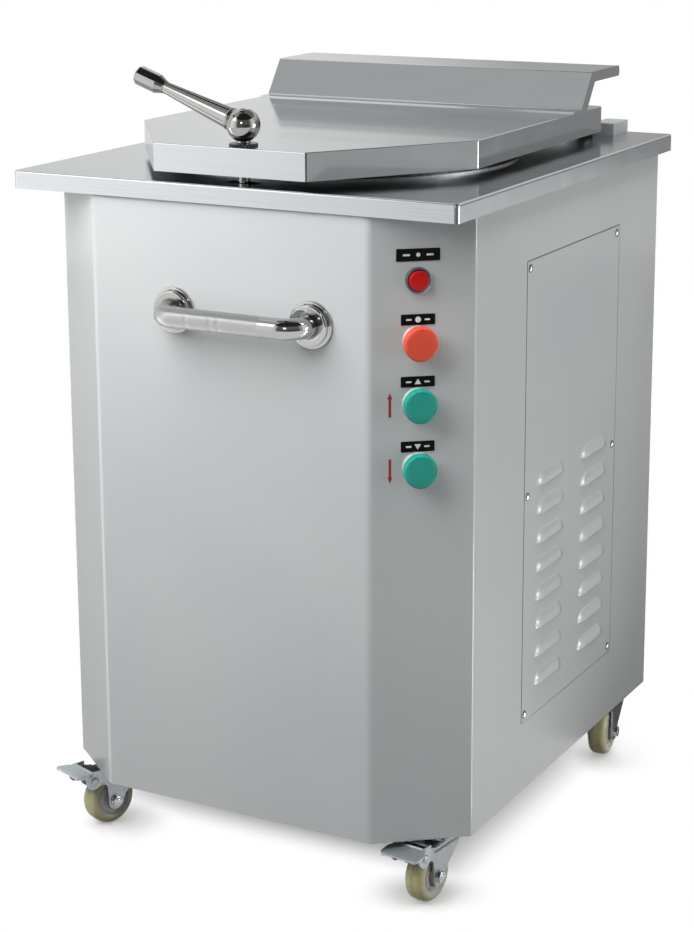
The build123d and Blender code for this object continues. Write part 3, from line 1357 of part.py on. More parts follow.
def all_pieces():
    """Every piece by its name."""
    places = device_places()
    left_side = cabinet_wall() & side_keep(-1)
    pieces = {
        "main_frame": main_frame(),
        "base_plate": base_plate(),
        "front_panel": front_panel(),
        "left_side_panel": left_side,
        "right_side_panel": right_side_panel(),
        "rear_panel": rear_panel(),
        "access_cover": access_cover(),
        "access_cover_screws": access_cover_screws(),
        "table_top": table_top(),
        "latch_keeper": latch_keeper(),
        "dough_chamber": dough_chamber(),
        "cylinder_barrel": cylinder_barrel(),
        "drive_motor": drive_motor(),
        "hydraulic_pump": hydraulic_pump(),
        "oil_tank": oil_tank(),
        "hydraulic_hoses": hydraulic_hoses(),
        "control_box": control_box(),
        "handle_bar": handle_bar(),
        "handle_flanges": handle_flanges(),
        "hinge_blocks": hinge_blocks(),
        "hinge_pins": hinge_pins(),
        "pilot_bezel": pilot_bezel(),
        "pilot_lens": pilot_lens(),
        "button_collars": button_collars(),
        "switch_blocks": switch_blocks(),
        "legend_plates": legend_plates(),
        "cable_gland": cable_gland(),
        "caster_plates": caster_plates(),
        "caster_bolts": caster_bolts(),
        "lid_shell": lid_shell(),
        "lid_press_plate": lid_press_plate(),
        "lid_upstand": lid_upstand(),
        "hinge_lugs": hinge_lugs(),
        "latch_bush": latch_bush(),
        "latch_spindle": latch_spindle(),
        "clamp_lever": clamp_lever(),
        "lever_knob": lever_knob(),
        "stop_button": mushroom_button(places[1]),
        "start_up_button": mushroom_button(places[2]),
        "start_down_button": mushroom_button(places[3]),
        "piston_rod": piston_rod(),
        "knife_carrier": knife_carrier(),
        "knife_grid": knife_grid(),
        "press_pads": press_pads(),
        "press_carrier": press_carrier(),
    }
    for name in CASTER_PLACES:
        pieces[f"{name}_fork"] = caster_fork(name)
        pieces[f"{name}_axle"] = caster_axle(name)
        pieces[f"{name}_wheel"] = caster_wheel(name)
    for name in BRAKED_CASTERS:
        pieces[f"{name}_brake_pedal"] = brake_pedal(name)
    return pieces


def write_parts(folder):
    """Write each piece, or group of like pieces, to its own STEP file."""
    os.makedirs(folder, exist_ok=True)
    for name, piece in all_pieces().items():
        group = piece if isinstance(piece, list) else [piece]
        solids = [solid for item in group for solid in item.solids()]
        shape = solids[0] if len(solids) == 1 else Compound(solids)
        export_step(shape, os.path.join(folder, f"{name}.step"))
        print(name, len(solids), round(sum(solid.volume for solid in solids)))


if __name__ == "__main__":
    write_parts("parts")
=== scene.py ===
"""Looks of a floor-standing hydraulic dough divider.

Every CAD piece gets a finish, and the pieces that the eye rests on are shaped more finely over
their plain solids. Sizes are in millimetres; meshes are in metres.
"""

import json
import logging
import math
from collections.abc import Sequence
from dataclasses import dataclass
from enum import Enum

import bmesh
import bpy
import numpy as np
from mathutils import Euler, Matrix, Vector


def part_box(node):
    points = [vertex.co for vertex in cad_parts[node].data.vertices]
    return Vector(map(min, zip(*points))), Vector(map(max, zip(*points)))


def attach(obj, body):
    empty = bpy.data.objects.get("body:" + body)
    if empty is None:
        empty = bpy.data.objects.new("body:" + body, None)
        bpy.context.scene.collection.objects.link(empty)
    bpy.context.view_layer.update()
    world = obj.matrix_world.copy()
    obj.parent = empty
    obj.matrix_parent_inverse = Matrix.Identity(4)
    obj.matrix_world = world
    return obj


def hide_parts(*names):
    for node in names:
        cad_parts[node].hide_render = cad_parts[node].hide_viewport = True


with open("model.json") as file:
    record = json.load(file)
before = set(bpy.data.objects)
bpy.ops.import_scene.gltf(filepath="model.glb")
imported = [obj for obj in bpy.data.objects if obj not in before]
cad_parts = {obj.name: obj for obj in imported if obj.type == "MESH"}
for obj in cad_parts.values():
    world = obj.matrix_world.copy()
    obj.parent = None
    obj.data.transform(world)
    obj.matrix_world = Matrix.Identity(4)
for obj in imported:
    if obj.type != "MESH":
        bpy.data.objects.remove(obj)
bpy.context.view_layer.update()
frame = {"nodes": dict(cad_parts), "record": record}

MM = 0.001
LOG = logging.getLogger("dough_divider")

Socket = bpy.types.NodeSocket
Tree = bpy.types.NodeTree

WHITE = (1.0, 1.0, 1.0, 1.0)

# Points closer than this, in millimetres, are joined
WELD = 0.002

# Points round a turned piece, by how large it shows
ROUND_LARGE = 96
ROUND_MIDDLE = 72
ROUND_SMALL = 48
ROUND_TINY = 40

# Most of a noise lies in this band, which is drawn out to run from 0 to 1
NOISE_BAND = {"From Min": 0.3, "From Max": 0.7}


def linear(colour: str) -> tuple[float, float, float, float]:
    """Turn an sRGB hex colour to linear light.

    Args:
        colour: "#RRGGBB".

    Returns:
        Linear red, green and blue, and an alpha of 1.
    """
    code = np.array([int(colour[i:i + 2], 16) for i in (1, 3, 5)]) / 255
    value = np.where(code <= 0.04045, code / 12.92, ((code + 0.055) / 1.055) ** 2.4)
    return (*value.tolist(), 1.0)


def add(tree: Tree, kind: str, inputs: dict | None = None, **settings) -> bpy.types.Node:
    """Add one shader node.

    Args:
        tree: The node tree that it goes into.
        kind: The node's type, without its "ShaderNode".
        inputs: For an input's name or number, the socket to link or the constant to set.
        settings: Properties of the node itself.

    Returns:
        The new node.
    """
    node = tree.nodes.new("ShaderNode" + kind)
    for key, value in settings.items():
        setattr(node, key, value)
    for key, value in (inputs or {}).items():
        if isinstance(value, Socket):
            tree.links.new(value, node.inputs[key])
        else:
            node.inputs[key].default_value = value
    return node


def put(node: bpy.types.Node, constants: dict) -> None:
    """Set constants on a shader's own sockets."""
    for name, value in constants.items():
        node.inputs[name].default_value = value


class Grain(Enum):
    """Direction of a brushed finish: how much its noise is squeezed along each axis."""

    ALONG_X = (0.012, 1.0, 1.0)
    ALONG_Y = (1.0, 0.012, 1.0)
    ALONG_Z = (1.0, 1.0, 0.012)
    NONE = (1.0, 1.0, 1.0)


@dataclass(frozen=True)
class Finish:
    """A surface finish; a subclass adds the pattern that the making of the surface leaves."""

    name: str
    colour: str
    roughness: float
    metallic: float = 0.0

    def material(self) -> bpy.types.Material:
        """Return the finish's material, made at its first use.

        Returns:
            The material.
        """
        found = bpy.data.materials.get(self.name)
        if found is not None:
            return found
        material = bpy.data.materials.new(self.name)
        material.use_nodes = True
        material.diffuse_color = linear(self.colour)
        tree = material.node_tree
        shader = tree.nodes["Principled BSDF"]
        put(shader, {"Base Color": linear(self.colour), "Roughness": self.roughness,
                     "Metallic": self.metallic})
        self.pattern(tree, shader)
        return material

    def pattern(self, tree: Tree, shader: bpy.types.Node) -> None:
        """Link the finish's pattern into its shader."""

    def blotches(self, tree: Tree, size: float, grain: Grain = Grain.NONE,
                 detail: float = 3.0) -> Socket:
        """Noise from 0 to 1 on Object coordinates.

        Args:
            tree: The node tree.
            size: Size of one blotch, or the width of one grain line, in millimetres.
            grain: Direction along which the noise is drawn out.
            detail: Octaves of finer noise.

        Returns:
            The socket that holds the noise.
        """
        place = add(tree, "TexCoord").outputs["Object"]
        place = add(tree, "Mapping", {"Vector": place, "Scale": grain.value}).outputs["Vector"]
        noise = add(tree, "TexNoise", {"Vector": place, "Scale": 1 / (size * MM), "Detail": detail})
        return noise.outputs["Fac"]

    def tint(self, tree: Tree, shader: bpy.types.Node, noise: Socket, other: str) -> None:
        """Mix the finish's colour with another one by a noise.

        Args:
            tree: The node tree.
            shader: The finish's shader.
            noise: The noise, which mostly lies in its band.
            other: The other colour, "#RRGGBB".
        """
        spread = add(tree, "MapRange", {"Value": noise, **NOISE_BAND})
        mix = add(tree, "Mix", {0: spread.outputs["Result"], 6: linear(self.colour), 7: linear(other)},
                  data_type="RGBA")
        tree.links.new(mix.outputs[2], shader.inputs["Base Color"])

    def sheen_spread(self, tree: Tree, shader: bpy.types.Node, noise: Socket, spread: float) -> None:
        """Let the roughness vary by a noise.

        Args:
            tree: The node tree.
            shader: The finish's shader.
            noise: The noise, which mostly lies in its band.
            spread: How far the roughness goes up and down.
        """
        rough = add(tree, "MapRange", {
            "Value": noise, **NOISE_BAND,
            "To Min": self.roughness - spread, "To Max": self.roughness + spread})
        tree.links.new(rough.outputs["Result"], shader.inputs["Roughness"])

    def relief(self, tree: Tree, shader: bpy.types.Node, height: Socket, depth: float) -> None:
        """Bump the surface by a height pattern of a real depth in millimetres."""
        bump = add(tree, "Bump", {"Height": height, "Distance": depth * MM})
        tree.links.new(bump.outputs["Normal"], shader.inputs["Normal"])


@dataclass(frozen=True)
class SprayedPaint(Finish):
    """Sprayed and stoved paint on sheet steel: satin, with a fine orange peel and faint clouds."""

    cloud: str = "#BFC3C4"
    cloud_size: float = 260.0
    peel_size: float = 3.5
    peel_depth: float = 0.012
    shine: float = 0.2
    coat: float = 0.2
    coat_roughness: float = 0.13
    sheen_drift: float = 0.05

    def pattern(self, tree: Tree, shader: bpy.types.Node) -> None:
        """Clouds in the colour and the sheen, the peel as relief, and a thin glossier skin.

        Args:
            tree: The material's node tree.
            shader: The material's shader.
        """
        put(shader, {"Specular IOR Level": self.shine, "Coat Weight": self.coat,
                     "Coat Roughness": self.coat_roughness})
        self.tint(tree, shader, self.blotches(tree, self.cloud_size), self.cloud)
        self.sheen_spread(tree, shader, self.blotches(tree, self.cloud_size / 3), self.sheen_drift)
        self.relief(tree, shader, self.blotches(tree, self.peel_size), self.peel_depth)


@dataclass(frozen=True)
class BrushedSteel(Finish):
    """Rolled and brushed stainless: long grain lines that only show where light grazes them.

    The real lines are about 0.1 mm wide; they are drawn wider so that they show.
    """

    grain: Grain = Grain.ALONG_X
    grain_width: float = 1.1
    grain_depth: float = 0.0006
    smear_width: float = 49.5
    sheen_drift: float = 0.04
    streak: str = "#C5C8CA"

    def pattern(self, tree: Tree, shader: bpy.types.Node) -> None:
        """Grain lines in the colour, the sheen and the relief, and a wide smear in the sheen.

        Args:
            tree: The material's node tree.
            shader: The material's shader.
        """
        lines = self.blotches(tree, self.grain_width, self.grain)
        self.tint(tree, shader, lines, self.streak)
        smear = self.blotches(tree, self.smear_width, self.grain)
        self.sheen_spread(tree, shader, smear, self.sheen_drift)
        self.relief(tree, shader, lines, self.grain_depth)


@dataclass(frozen=True)
class PolishedPlate(Finish):
    """Buffed and plated metal: a clear mirror with faint finger smears."""

    smear_size: float = 14.0
    smear: float = 0.03

    def pattern(self, tree: Tree, shader: bpy.types.Node) -> None:
        """Smears in the sheen."""
        self.sheen_spread(tree, shader, self.blotches(tree, self.smear_size), self.smear)


@dataclass(frozen=True)
class GripTube(Finish):
    """Bent stainless tube: mirror-bright ends and a fine blasted grip between two places along X."""

    grip_from: float = 0.0
    grip_to: float = 0.0
    grip_roughness: float = 0.36
    fade: float = 1.2
    grit: float = 0.9
    grit_depth: float = 0.01

    def pattern(self, tree: Tree, shader: bpy.types.Node) -> None:
        """The grip's roughness between its two edges, and its grit as relief.

        Args:
            tree: The material's node tree.
            shader: The material's shader.
        """
        place = add(tree, "TexCoord").outputs["Object"]
        x = add(tree, "SeparateXYZ", {"Vector": place}).outputs["X"]
        edges = []
        for start, fade in ((self.grip_from, self.fade), (self.grip_to, -self.fade)):
            edge = add(tree, "MapRange", {
                "Value": x, "From Min": start * MM, "From Max": (start + fade) * MM})
            edges.append(edge.outputs["Result"])
        inside = add(tree, "Math", {0: edges[0], 1: edges[1]}, operation="MULTIPLY").outputs["Value"]
        rough = add(tree, "MapRange", {
            "Value": inside, "To Min": self.roughness, "To Max": self.grip_roughness})
        tree.links.new(rough.outputs["Result"], shader.inputs["Roughness"])
        grit = add(tree, "Math", {0: self.blotches(tree, self.grit), 1: inside}, operation="MULTIPLY")
        self.relief(tree, shader, grit.outputs["Value"], self.grit_depth)


@dataclass(frozen=True)
class PlatedSteel(Finish):
    """Zinc-plated pressed steel: dull and cloudy, greyer where it has weathered."""

    stain: str = "#7E8284"
    stain_size: float = 9.0
    sheen_drift: float = 0.08

    def pattern(self, tree: Tree, shader: bpy.types.Node) -> None:
        """Stains in the colour and the sheen.

        Args:
            tree: The material's node tree.
            shader: The material's shader.
        """
        stains = self.blotches(tree, self.stain_size, detail=5.0)
        self.tint(tree, shader, stains, self.stain)
        self.sheen_spread(tree, shader, stains, self.sheen_drift)


@dataclass(frozen=True)
class CastMetal(Finish):
    """Cast and machined aluminium: fine pits and a soft grey sheen."""

    pit_size: float = 2.0
    pit_depth: float = 0.05
    drift_size: float = 60.0
    shade: str = "#9FA2A4"

    def pattern(self, tree: Tree, shader: bpy.types.Node) -> None:
        """Pits in the relief and a slow drift in the colour."""
        self.tint(tree, shader, self.blotches(tree, self.drift_size), self.shade)
        self.relief(tree, shader, self.blotches(tree, self.pit_size, detail=5.0), self.pit_depth)


@dataclass(frozen=True)
class MouldedPlastic(Finish):
    """Injection-moulded plastic: even colour, a fine mould texture and a soft gloss."""

    fade: str = "#808080"
    fade_size: float = 25.2
    texture_size: float = 1.4
    texture_depth: float = 0.012
    shine: float = 0.5

    def pattern(self, tree: Tree, shader: bpy.types.Node) -> None:
        """A slow fade in the colour, and the mould's texture as relief.

        Args:
            tree: The material's node tree.
            shader: The material's shader.
        """
        put(shader, {"Specular IOR Level": self.shine})
        self.tint(tree, shader, self.blotches(tree, self.fade_size), self.fade)
        self.relief(tree, shader, self.blotches(tree, self.texture_size), self.texture_depth)


@dataclass(frozen=True)
class LampLens(Finish):
    """Clear moulded lens over a small lamp: saturated, with a soft gloss and a faint glow."""

    glow: float = 0.1
    coat: float = 0.05
    shine: float = 0.25
    facet_size: float = 2.4
    facet_depth: float = 0.05

    def pattern(self, tree: Tree, shader: bpy.types.Node) -> None:
        """A glow of the lens's own colour, and the prisms moulded in its back.

        Args:
            tree: The material's node tree.
            shader: The material's shader.
        """
        put(shader, {"Emission Color": linear(self.colour), "Emission Strength": self.glow,
                     "Coat Weight": self.coat, "Specular IOR Level": self.shine})
        self.relief(tree, shader, self.blotches(tree, self.facet_size, detail=0.0), self.facet_depth)


@dataclass(frozen=True)
class CastNylon(Finish):
    """Cast nylon wheel: waxy and a little translucent, yellowed, with scuffs from the floor."""

    yellow: str = "#BDB489"
    scatter: float = 0.15
    scatter_reach: float = 2.0
    scuff_size: float = 6.0
    scuff_depth: float = 0.08
    sheen_drift: float = 0.1

    def pattern(self, tree: Tree, shader: bpy.types.Node) -> None:
        """Yellowing in the colour, scuffs in the sheen and relief, and a short scatter.

        Args:
            tree: The material's node tree.
            shader: The material's shader.
        """
        put(shader, {"Subsurface Weight": self.scatter, "Subsurface Scale": self.scatter_reach * MM})
        scuffs = self.blotches(tree, self.scuff_size, detail=6.0)
        self.tint(tree, shader, scuffs, self.yellow)
        self.sheen_spread(tree, shader, scuffs, self.sheen_drift)
        self.relief(tree, shader, scuffs, self.scuff_depth)


PAINT = SprayedPaint("satin_silver_paint", "#C6C9C9", 0.42, 0.1, coat=1.0)
TABLE_STEEL = BrushedSteel("brushed_stainless_table", "#CBCED0", 0.14, 1.0)
LID_STEEL = BrushedSteel("brushed_stainless_lid", "#C9CCCE", 0.11, 1.0)
GROUND_STEEL = BrushedSteel("ground_steel", "#B4B6B8", 0.3, 1.0, grain=Grain.ALONG_Z)
HANDLE_STEEL = GripTube("bent_stainless_tube", "#B6B7B6", 0.08, 1.0, grip_from=-200.0, grip_to=70.0)
BRIGHT_PLATE = PolishedPlate("polished_nickel_plate", "#A9A8A5", 0.06, 1.0)
CHROME = PolishedPlate("polished_chrome_plate", "#BDBDBB", 0.07, 1.0)
ZINC = PlatedSteel("zinc_plated_pressing", "#9DA1A3", 0.32, 0.9, stain="#8D9193", stain_size=7.0)
PEDAL_ZINC = PlatedSteel("bright_zinc_plated_pedal", "#A9B2B4", 0.34, 0.7, stain="#A2ABAD")
# Dark plated steel of the lid's bush; on the brake bars and the screw rings it is painted shade
DARK_STEEL_AND_SHADE = PlatedSteel("dark_steel_and_painted_shade", "#55565A", 0.3, 0.95, stain="#3F4043", stain_size=3.0)
CHAMBER_STEEL = BrushedSteel("dull_turned_steel", "#85888A", 0.34, 1.0)
BRIGHT_ZINC = PlatedSteel("bright_zinc_plated_bolt", "#BEC2C4", 0.24, 1.0, stain="#9A9EA0", stain_size=4.0)
ALUMINIUM = CastMetal("machined_cast_aluminium", "#B6B9BB", 0.42, 1.0)
HINGE_CAST = CastMetal("tumbled_cast_zinc", "#D4D7D8", 0.45, 0.2, shade="#CACECF")
PRIMER = SprayedPaint("dark_grey_primer", "#5A5D5F", 0.6, cloud="#4E5153")
MOTOR_PAINT = SprayedPaint("blue_grey_motor_enamel", "#556270", 0.4, cloud="#4B5763", peel_depth=0.03)
# Black rubber of the hoses; the same black in the access cover's gap is painted shade
BLACK_RUBBER_AND_SHADE = MouldedPlastic("black_hose_rubber_and_gap_shade", "#1B1B1C", 0.7, fade="#252526")
BLACK = MouldedPlastic("matt_black_abs", "#17181A", 0.45, fade="#1F2023")
PALE = MouldedPlastic("pale_grey_abs", "#D6D9D8", 0.4, fade="#C8CCCB")
PLATE_BLACK = MouldedPlastic("black_printed_plate", "#08090A", 0.6, fade="#0B0C0D", shine=0.08)
BEZEL = CastMetal("satin_bezel_zinc", "#7C797F", 0.4, 0.7, shade="#716E74")
RED = MouldedPlastic("orange_red_abs", "#F2563C", 0.34, fade="#EA4E34")
GREEN = MouldedPlastic("sea_green_abs", "#10A594", 0.34, fade="#0C9B8B")
LENS = LampLens("clear_red_polycarbonate", "#BE0E0B", 0.3)
NYLON = CastNylon("cast_grey_nylon", "#F0EEE6", 0.42, yellow="#E2DFD2")
TREAD = CastNylon("yellowed_tread_polyurethane", "#F4EEB8", 0.36, yellow="#E8E0A4")
WHITE_INK = MouldedPlastic("white_screen_ink", "#ECECEA", 0.55, fade="#DEDEDC")
RED_INK = MouldedPlastic("red_screen_ink", "#B4262B", 0.5, fade="#A01E24")
# Near-black that is painted shade: the floor of the lever's socket and the pedal's channel
SHADE_BLACK = MouldedPlastic("painted_shade_black", "#0C0C0D", 0.6, fade="#141415")


def angles(steps: int) -> np.ndarray:
    """Even steps of a full turn, in radians."""
    return np.linspace(0, 2 * math.pi, steps, endpoint=False)


def unit(vector: Sequence) -> np.ndarray:
    """The vector at length 1."""
    vector = np.asarray(vector, float)
    return vector / np.linalg.norm(vector)


def linked(name: str, data: bpy.types.ID) -> bpy.types.Object:
    """A new object in the scene, at the origin.

    Args:
        name: The object's name.
        data: Its mesh, light or camera.

    Returns:
        The object.
    """
    made = bpy.data.objects.new(name, data)
    bpy.context.scene.collection.objects.link(made)
    return made


@dataclass(frozen=True)
class Place:
    """A local frame on the object: its origin in millimetres, and its X and Z directions."""

    origin: Sequence
    x_dir: Sequence = (1.0, 0.0, 0.0)
    z_dir: Sequence = (0.0, 0.0, 1.0)

    def carry(self, points: np.ndarray) -> np.ndarray:
        """Carry local points to the object: origin + x X + y (Z cross X) + z Z.

        Args:
            points: Local points, of shape (n, 3).

        Returns:
            The points on the object.
        """
        z_axis = unit(self.z_dir)
        x_axis = unit(self.x_dir - z_axis * np.dot(self.x_dir, z_axis))
        return np.asarray(self.origin) + points @ np.stack([x_axis, np.cross(z_axis, x_axis), z_axis])


@dataclass
class Surface:
    """A mesh in the making: points in millimetres and the faces that join them."""

    points: np.ndarray
    faces: list[tuple[int, ...]]

    def __add__(self, other: "Surface") -> "Surface":
        """Both surfaces in one mesh.

        Args:
            other: The surface that is added.

        Returns:
            The joint surface.
        """
        shift = len(self.points)
        faces = [tuple(index + shift for index in face) for face in other.faces]
        return Surface(np.vstack([self.points, other.points]), self.faces + faces)

    def at(self, place: Place) -> "Surface":
        """The surface carried from local axes to its place."""
        return Surface(place.carry(self.points), self.faces)

    def lifted(self, height: float) -> "Surface":
        """The surface moved up its local Z."""
        return Surface(self.points + (0, 0, height), self.faces)

    def mesh(self, name: str) -> bpy.types.Mesh:
        """The surface as a Blender mesh in metres.

        Args:
            name: The mesh's name.

        Returns:
            The mesh.
        """
        mesh = bpy.data.meshes.new(name)
        mesh.from_pydata((self.points * MM).tolist(), [], self.faces)
        return mesh


def whole(*surfaces: Surface) -> Surface:
    """Several surfaces in one mesh."""
    return sum(surfaces[1:], surfaces[0])


def grid(points: np.ndarray, wrap_u: bool = False, wrap_v: bool = False) -> Surface:
    """Join an array of points by quads.

    Args:
        points: Array of shape (u, v, 3).
        wrap_u: Whether the last row joins the first.
        wrap_v: Whether the last column joins the first.

    Returns:
        The surface, one quad between each four neighbours.
    """
    index = np.arange(points.shape[0] * points.shape[1]).reshape(points.shape[:2])
    if wrap_u:
        index = np.vstack([index, index[:1]])
    if wrap_v:
        index = np.hstack([index, index[:, :1]])
    quads = np.stack([index[:-1, :-1], index[1:, :-1], index[1:, 1:], index[:-1, 1:]], axis=-1)
    return Surface(points.reshape(-1, 3), [tuple(quad) for quad in quads.reshape(-1, 4).tolist()])


def rounded(corners: Sequence, closed: bool = False, steps: int = 7) -> np.ndarray:
    """Round the corners of a line of points by arcs.

    The arc at a corner touches both runs; its centre is on the bisector at radius / sin(half angle),
    and its points are the two touching radii mixed by sin((1 - t) turn) and sin(t turn).

    Args:
        corners: The line's corners, each with two or three coordinates and then the radius of its
            arc; 0 keeps a corner sharp, and so do the ends of an open line.
        closed: Whether the line returns to its start.
        steps: Points on each arc.

    Returns:
        The points of the rounded line.
    """
    corners = np.asarray(corners, float)
    corners, radii = corners[:, :-1], corners[:, -1].copy()
    if not closed:
        radii[[0, -1]] = 0
    line = []
    for index, (corner, radius) in enumerate(zip(corners, radii)):
        if radius <= 0:
            line.append(corner[None])
            continue
        back = unit(corners[index - 1] - corner)
        ahead = unit(corners[(index + 1) % len(corners)] - corner)
        half = math.acos(np.clip(back @ ahead, -1, 1)) / 2
        centre = corner + unit(back + ahead) * radius / math.sin(half)
        first = corner + back * radius / math.tan(half) - centre
        last = corner + ahead * radius / math.tan(half) - centre
        turn = math.pi - 2 * half
        t = np.linspace(0, 1, steps)[:, None]
        line.append(centre + (np.sin((1 - t) * turn) * first + np.sin(t * turn) * last) / math.sin(turn))
    return np.vstack(line)


def turned(radius: np.ndarray, height: np.ndarray, closed: bool = False) -> Surface:
    """Turn rows of radii and heights about Z: (r cos a, r sin a, z).

    Args:
        radius: Radii by row and by angle.
        height: Heights by row, and by angle where they vary round it.
        closed: Whether the last row joins the first, as on a ring.

    Returns:
        The turned surface.
    """
    angle = angles(radius.shape[1])
    points = np.stack([radius * np.cos(angle), radius * np.sin(angle), height + 0 * radius], axis=-1)
    return grid(points, wrap_u=closed, wrap_v=True)


def lathe(profile: Sequence, steps: int = ROUND_LARGE, closed: bool = False) -> Surface:
    """Turn a profile of (radius, height) points about Z; a closed one makes a ring."""
    radius, height = np.asarray(profile, float).T[:, :, None]
    return turned(radius + np.zeros(steps), height, closed)


def loft(rings: np.ndarray) -> Surface:
    """Join closed rings of points in order, with flat ends.

    Args:
        rings: Array of shape (rings, points, 3).

    Returns:
        The closed surface.
    """
    sides = grid(rings, wrap_v=True)
    count = rings.shape[1]
    last = (len(rings) - 1) * count
    ends = [tuple(range(count - 1, -1, -1)), tuple(range(last, last + count))]
    return Surface(sides.points, sides.faces + ends)


def prism(outline: Sequence, low: float, high: float) -> Surface:
    """Carry a closed (x, y) outline up Z between two heights, with flat ends."""
    outline = np.asarray(outline, float)
    return loft(np.stack([np.column_stack([outline, np.full(len(outline), z)]) for z in (low, high)]))


def polygon(across: float, sides: int, steps: int) -> np.ndarray:
    """Radii of a polygon at even angles.

    Args:
        across: Width across flats.
        sides: Number of flats.
        steps: Number of angles.

    Returns:
        Half the width / cos of the angle from the nearest flat's middle.
    """
    pitch = 2 * math.pi / sides
    return across / 2 / np.cos((angles(steps) + pitch / 2) % pitch - pitch / 2)


def hex_head(across: float, height: float, slope: float = 0.55, turned_share: float = 0.97) -> Surface:
    """Hexagon nut whose top falls by a slope from a turned circle to the corners.

    Args:
        across: Width across flats.
        height: Height of the nut.
        slope: Slope of the turned corners.
        turned_share: The circle's share of the width across flats.

    Returns:
        The closed nut, standing on Z = 0.
    """
    corner = polygon(across, 6, ROUND_LARGE)
    none = np.zeros(ROUND_LARGE)
    circle = none + turned_share * across / 2
    edge = height - slope * (corner - circle)
    return turned(np.stack([none, corner, corner, circle, none]),
                  np.stack([none, none, edge, none + height, none + height]))


def smooth_step(value: np.ndarray) -> np.ndarray:
    """0 below 0, 1 above 1, and 3 v v - 2 v v v between."""
    value = np.clip(value, 0, 1)
    return value * value * (3 - 2 * value)


def tube(path: np.ndarray, radius: np.ndarray, across: Sequence) -> Surface:
    """Carry a circle along a path that lies in a plane.

    A point is path + radius (cos a N + sin a B), with B the plane's normal and N = B cross tangent.

    Args:
        path: Points of the path, of shape (n, 3).
        radius: Radii by point and by angle.
        across: The plane's normal.

    Returns:
        The tube's surface, with open ends.
    """
    tangent = np.gradient(path, axis=0)
    tangent /= np.linalg.norm(tangent, axis=1, keepdims=True)
    binormal = np.broadcast_to(unit(across), path.shape)
    normal = np.cross(binormal, tangent)
    angle = angles(radius.shape[1])[None, :, None]
    ring = np.cos(angle) * normal[:, None] + np.sin(angle) * binormal[:, None]
    return grid(path[:, None] + radius[:, :, None] * ring, wrap_v=True)


def box_mm(node: str) -> tuple[np.ndarray, np.ndarray]:
    """A CAD node's lowest and highest corners in millimetres."""
    low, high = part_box(node)
    return np.array(low) / MM, np.array(high) / MM


def joint_of(name: str) -> dict:
    """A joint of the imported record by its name."""
    return next(joint for joint in frame["record"]["behaviour"]["joints"] if joint["name"] == name)


def dress(finish: Finish, nodes: tuple[str, ...]) -> None:
    """Give CAD nodes a finish.

    Args:
        finish: The finish.
        nodes: The nodes' names.
    """
    for node in nodes:
        mesh = frame["nodes"][node].data
        mesh.materials.clear()
        mesh.materials.append(finish.material())
        LOG.info("node %s: %s", node, finish.name)


def piece(name: str, surface: Surface, finish: Finish, body: str, slot: str, replaces: tuple = (),
          bevel: float = 0.0, wall: float = 0.0, crease: float = 35.0) -> bpy.types.Object:
    """Make a piece of the object from a surface.

    Args:
        name: The piece's name.
        surface: Its points and faces.
        finish: Its finish.
        body: The CAD body that it moves with.
        slot: The record's material slot; not used.
        replaces: CAD nodes that it stands for.
        bevel: Width of its rounded edges in millimetres.
        wall: Thickness given to an open sheet in millimetres, inwards from its faces.
        crease: Angle in degrees past which an edge stays sharp.

    Returns:
        The new object.
    """
    mesh = surface.mesh(name)
    work = bmesh.new()
    work.from_mesh(mesh)
    bmesh.ops.remove_doubles(work, verts=work.verts, dist=WELD * MM)
    bmesh.ops.recalc_face_normals(work, faces=work.faces)
    work.to_mesh(mesh)
    work.free()
    mesh.shade_smooth()
    mesh.set_sharp_from_angle(angle=math.radians(crease))
    mesh.materials.append(finish.material())
    made = linked(name, mesh)
    if wall:
        solidify = made.modifiers.new("wall", "SOLIDIFY")
        solidify.thickness = wall * MM
        solidify.offset = -1
    if bevel:
        edges = made.modifiers.new("edges", "BEVEL")
        edges.width = bevel * MM
        edges.segments = 3
        edges.limit_method = "ANGLE"
        edges.angle_limit = math.radians(crease)
        edges.harden_normals = True
    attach(made, body)
    if replaces:
        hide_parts(*replaces)
    LOG.info("piece %s: %d faces, %s", name, len(mesh.polygons), finish.name)
    return made


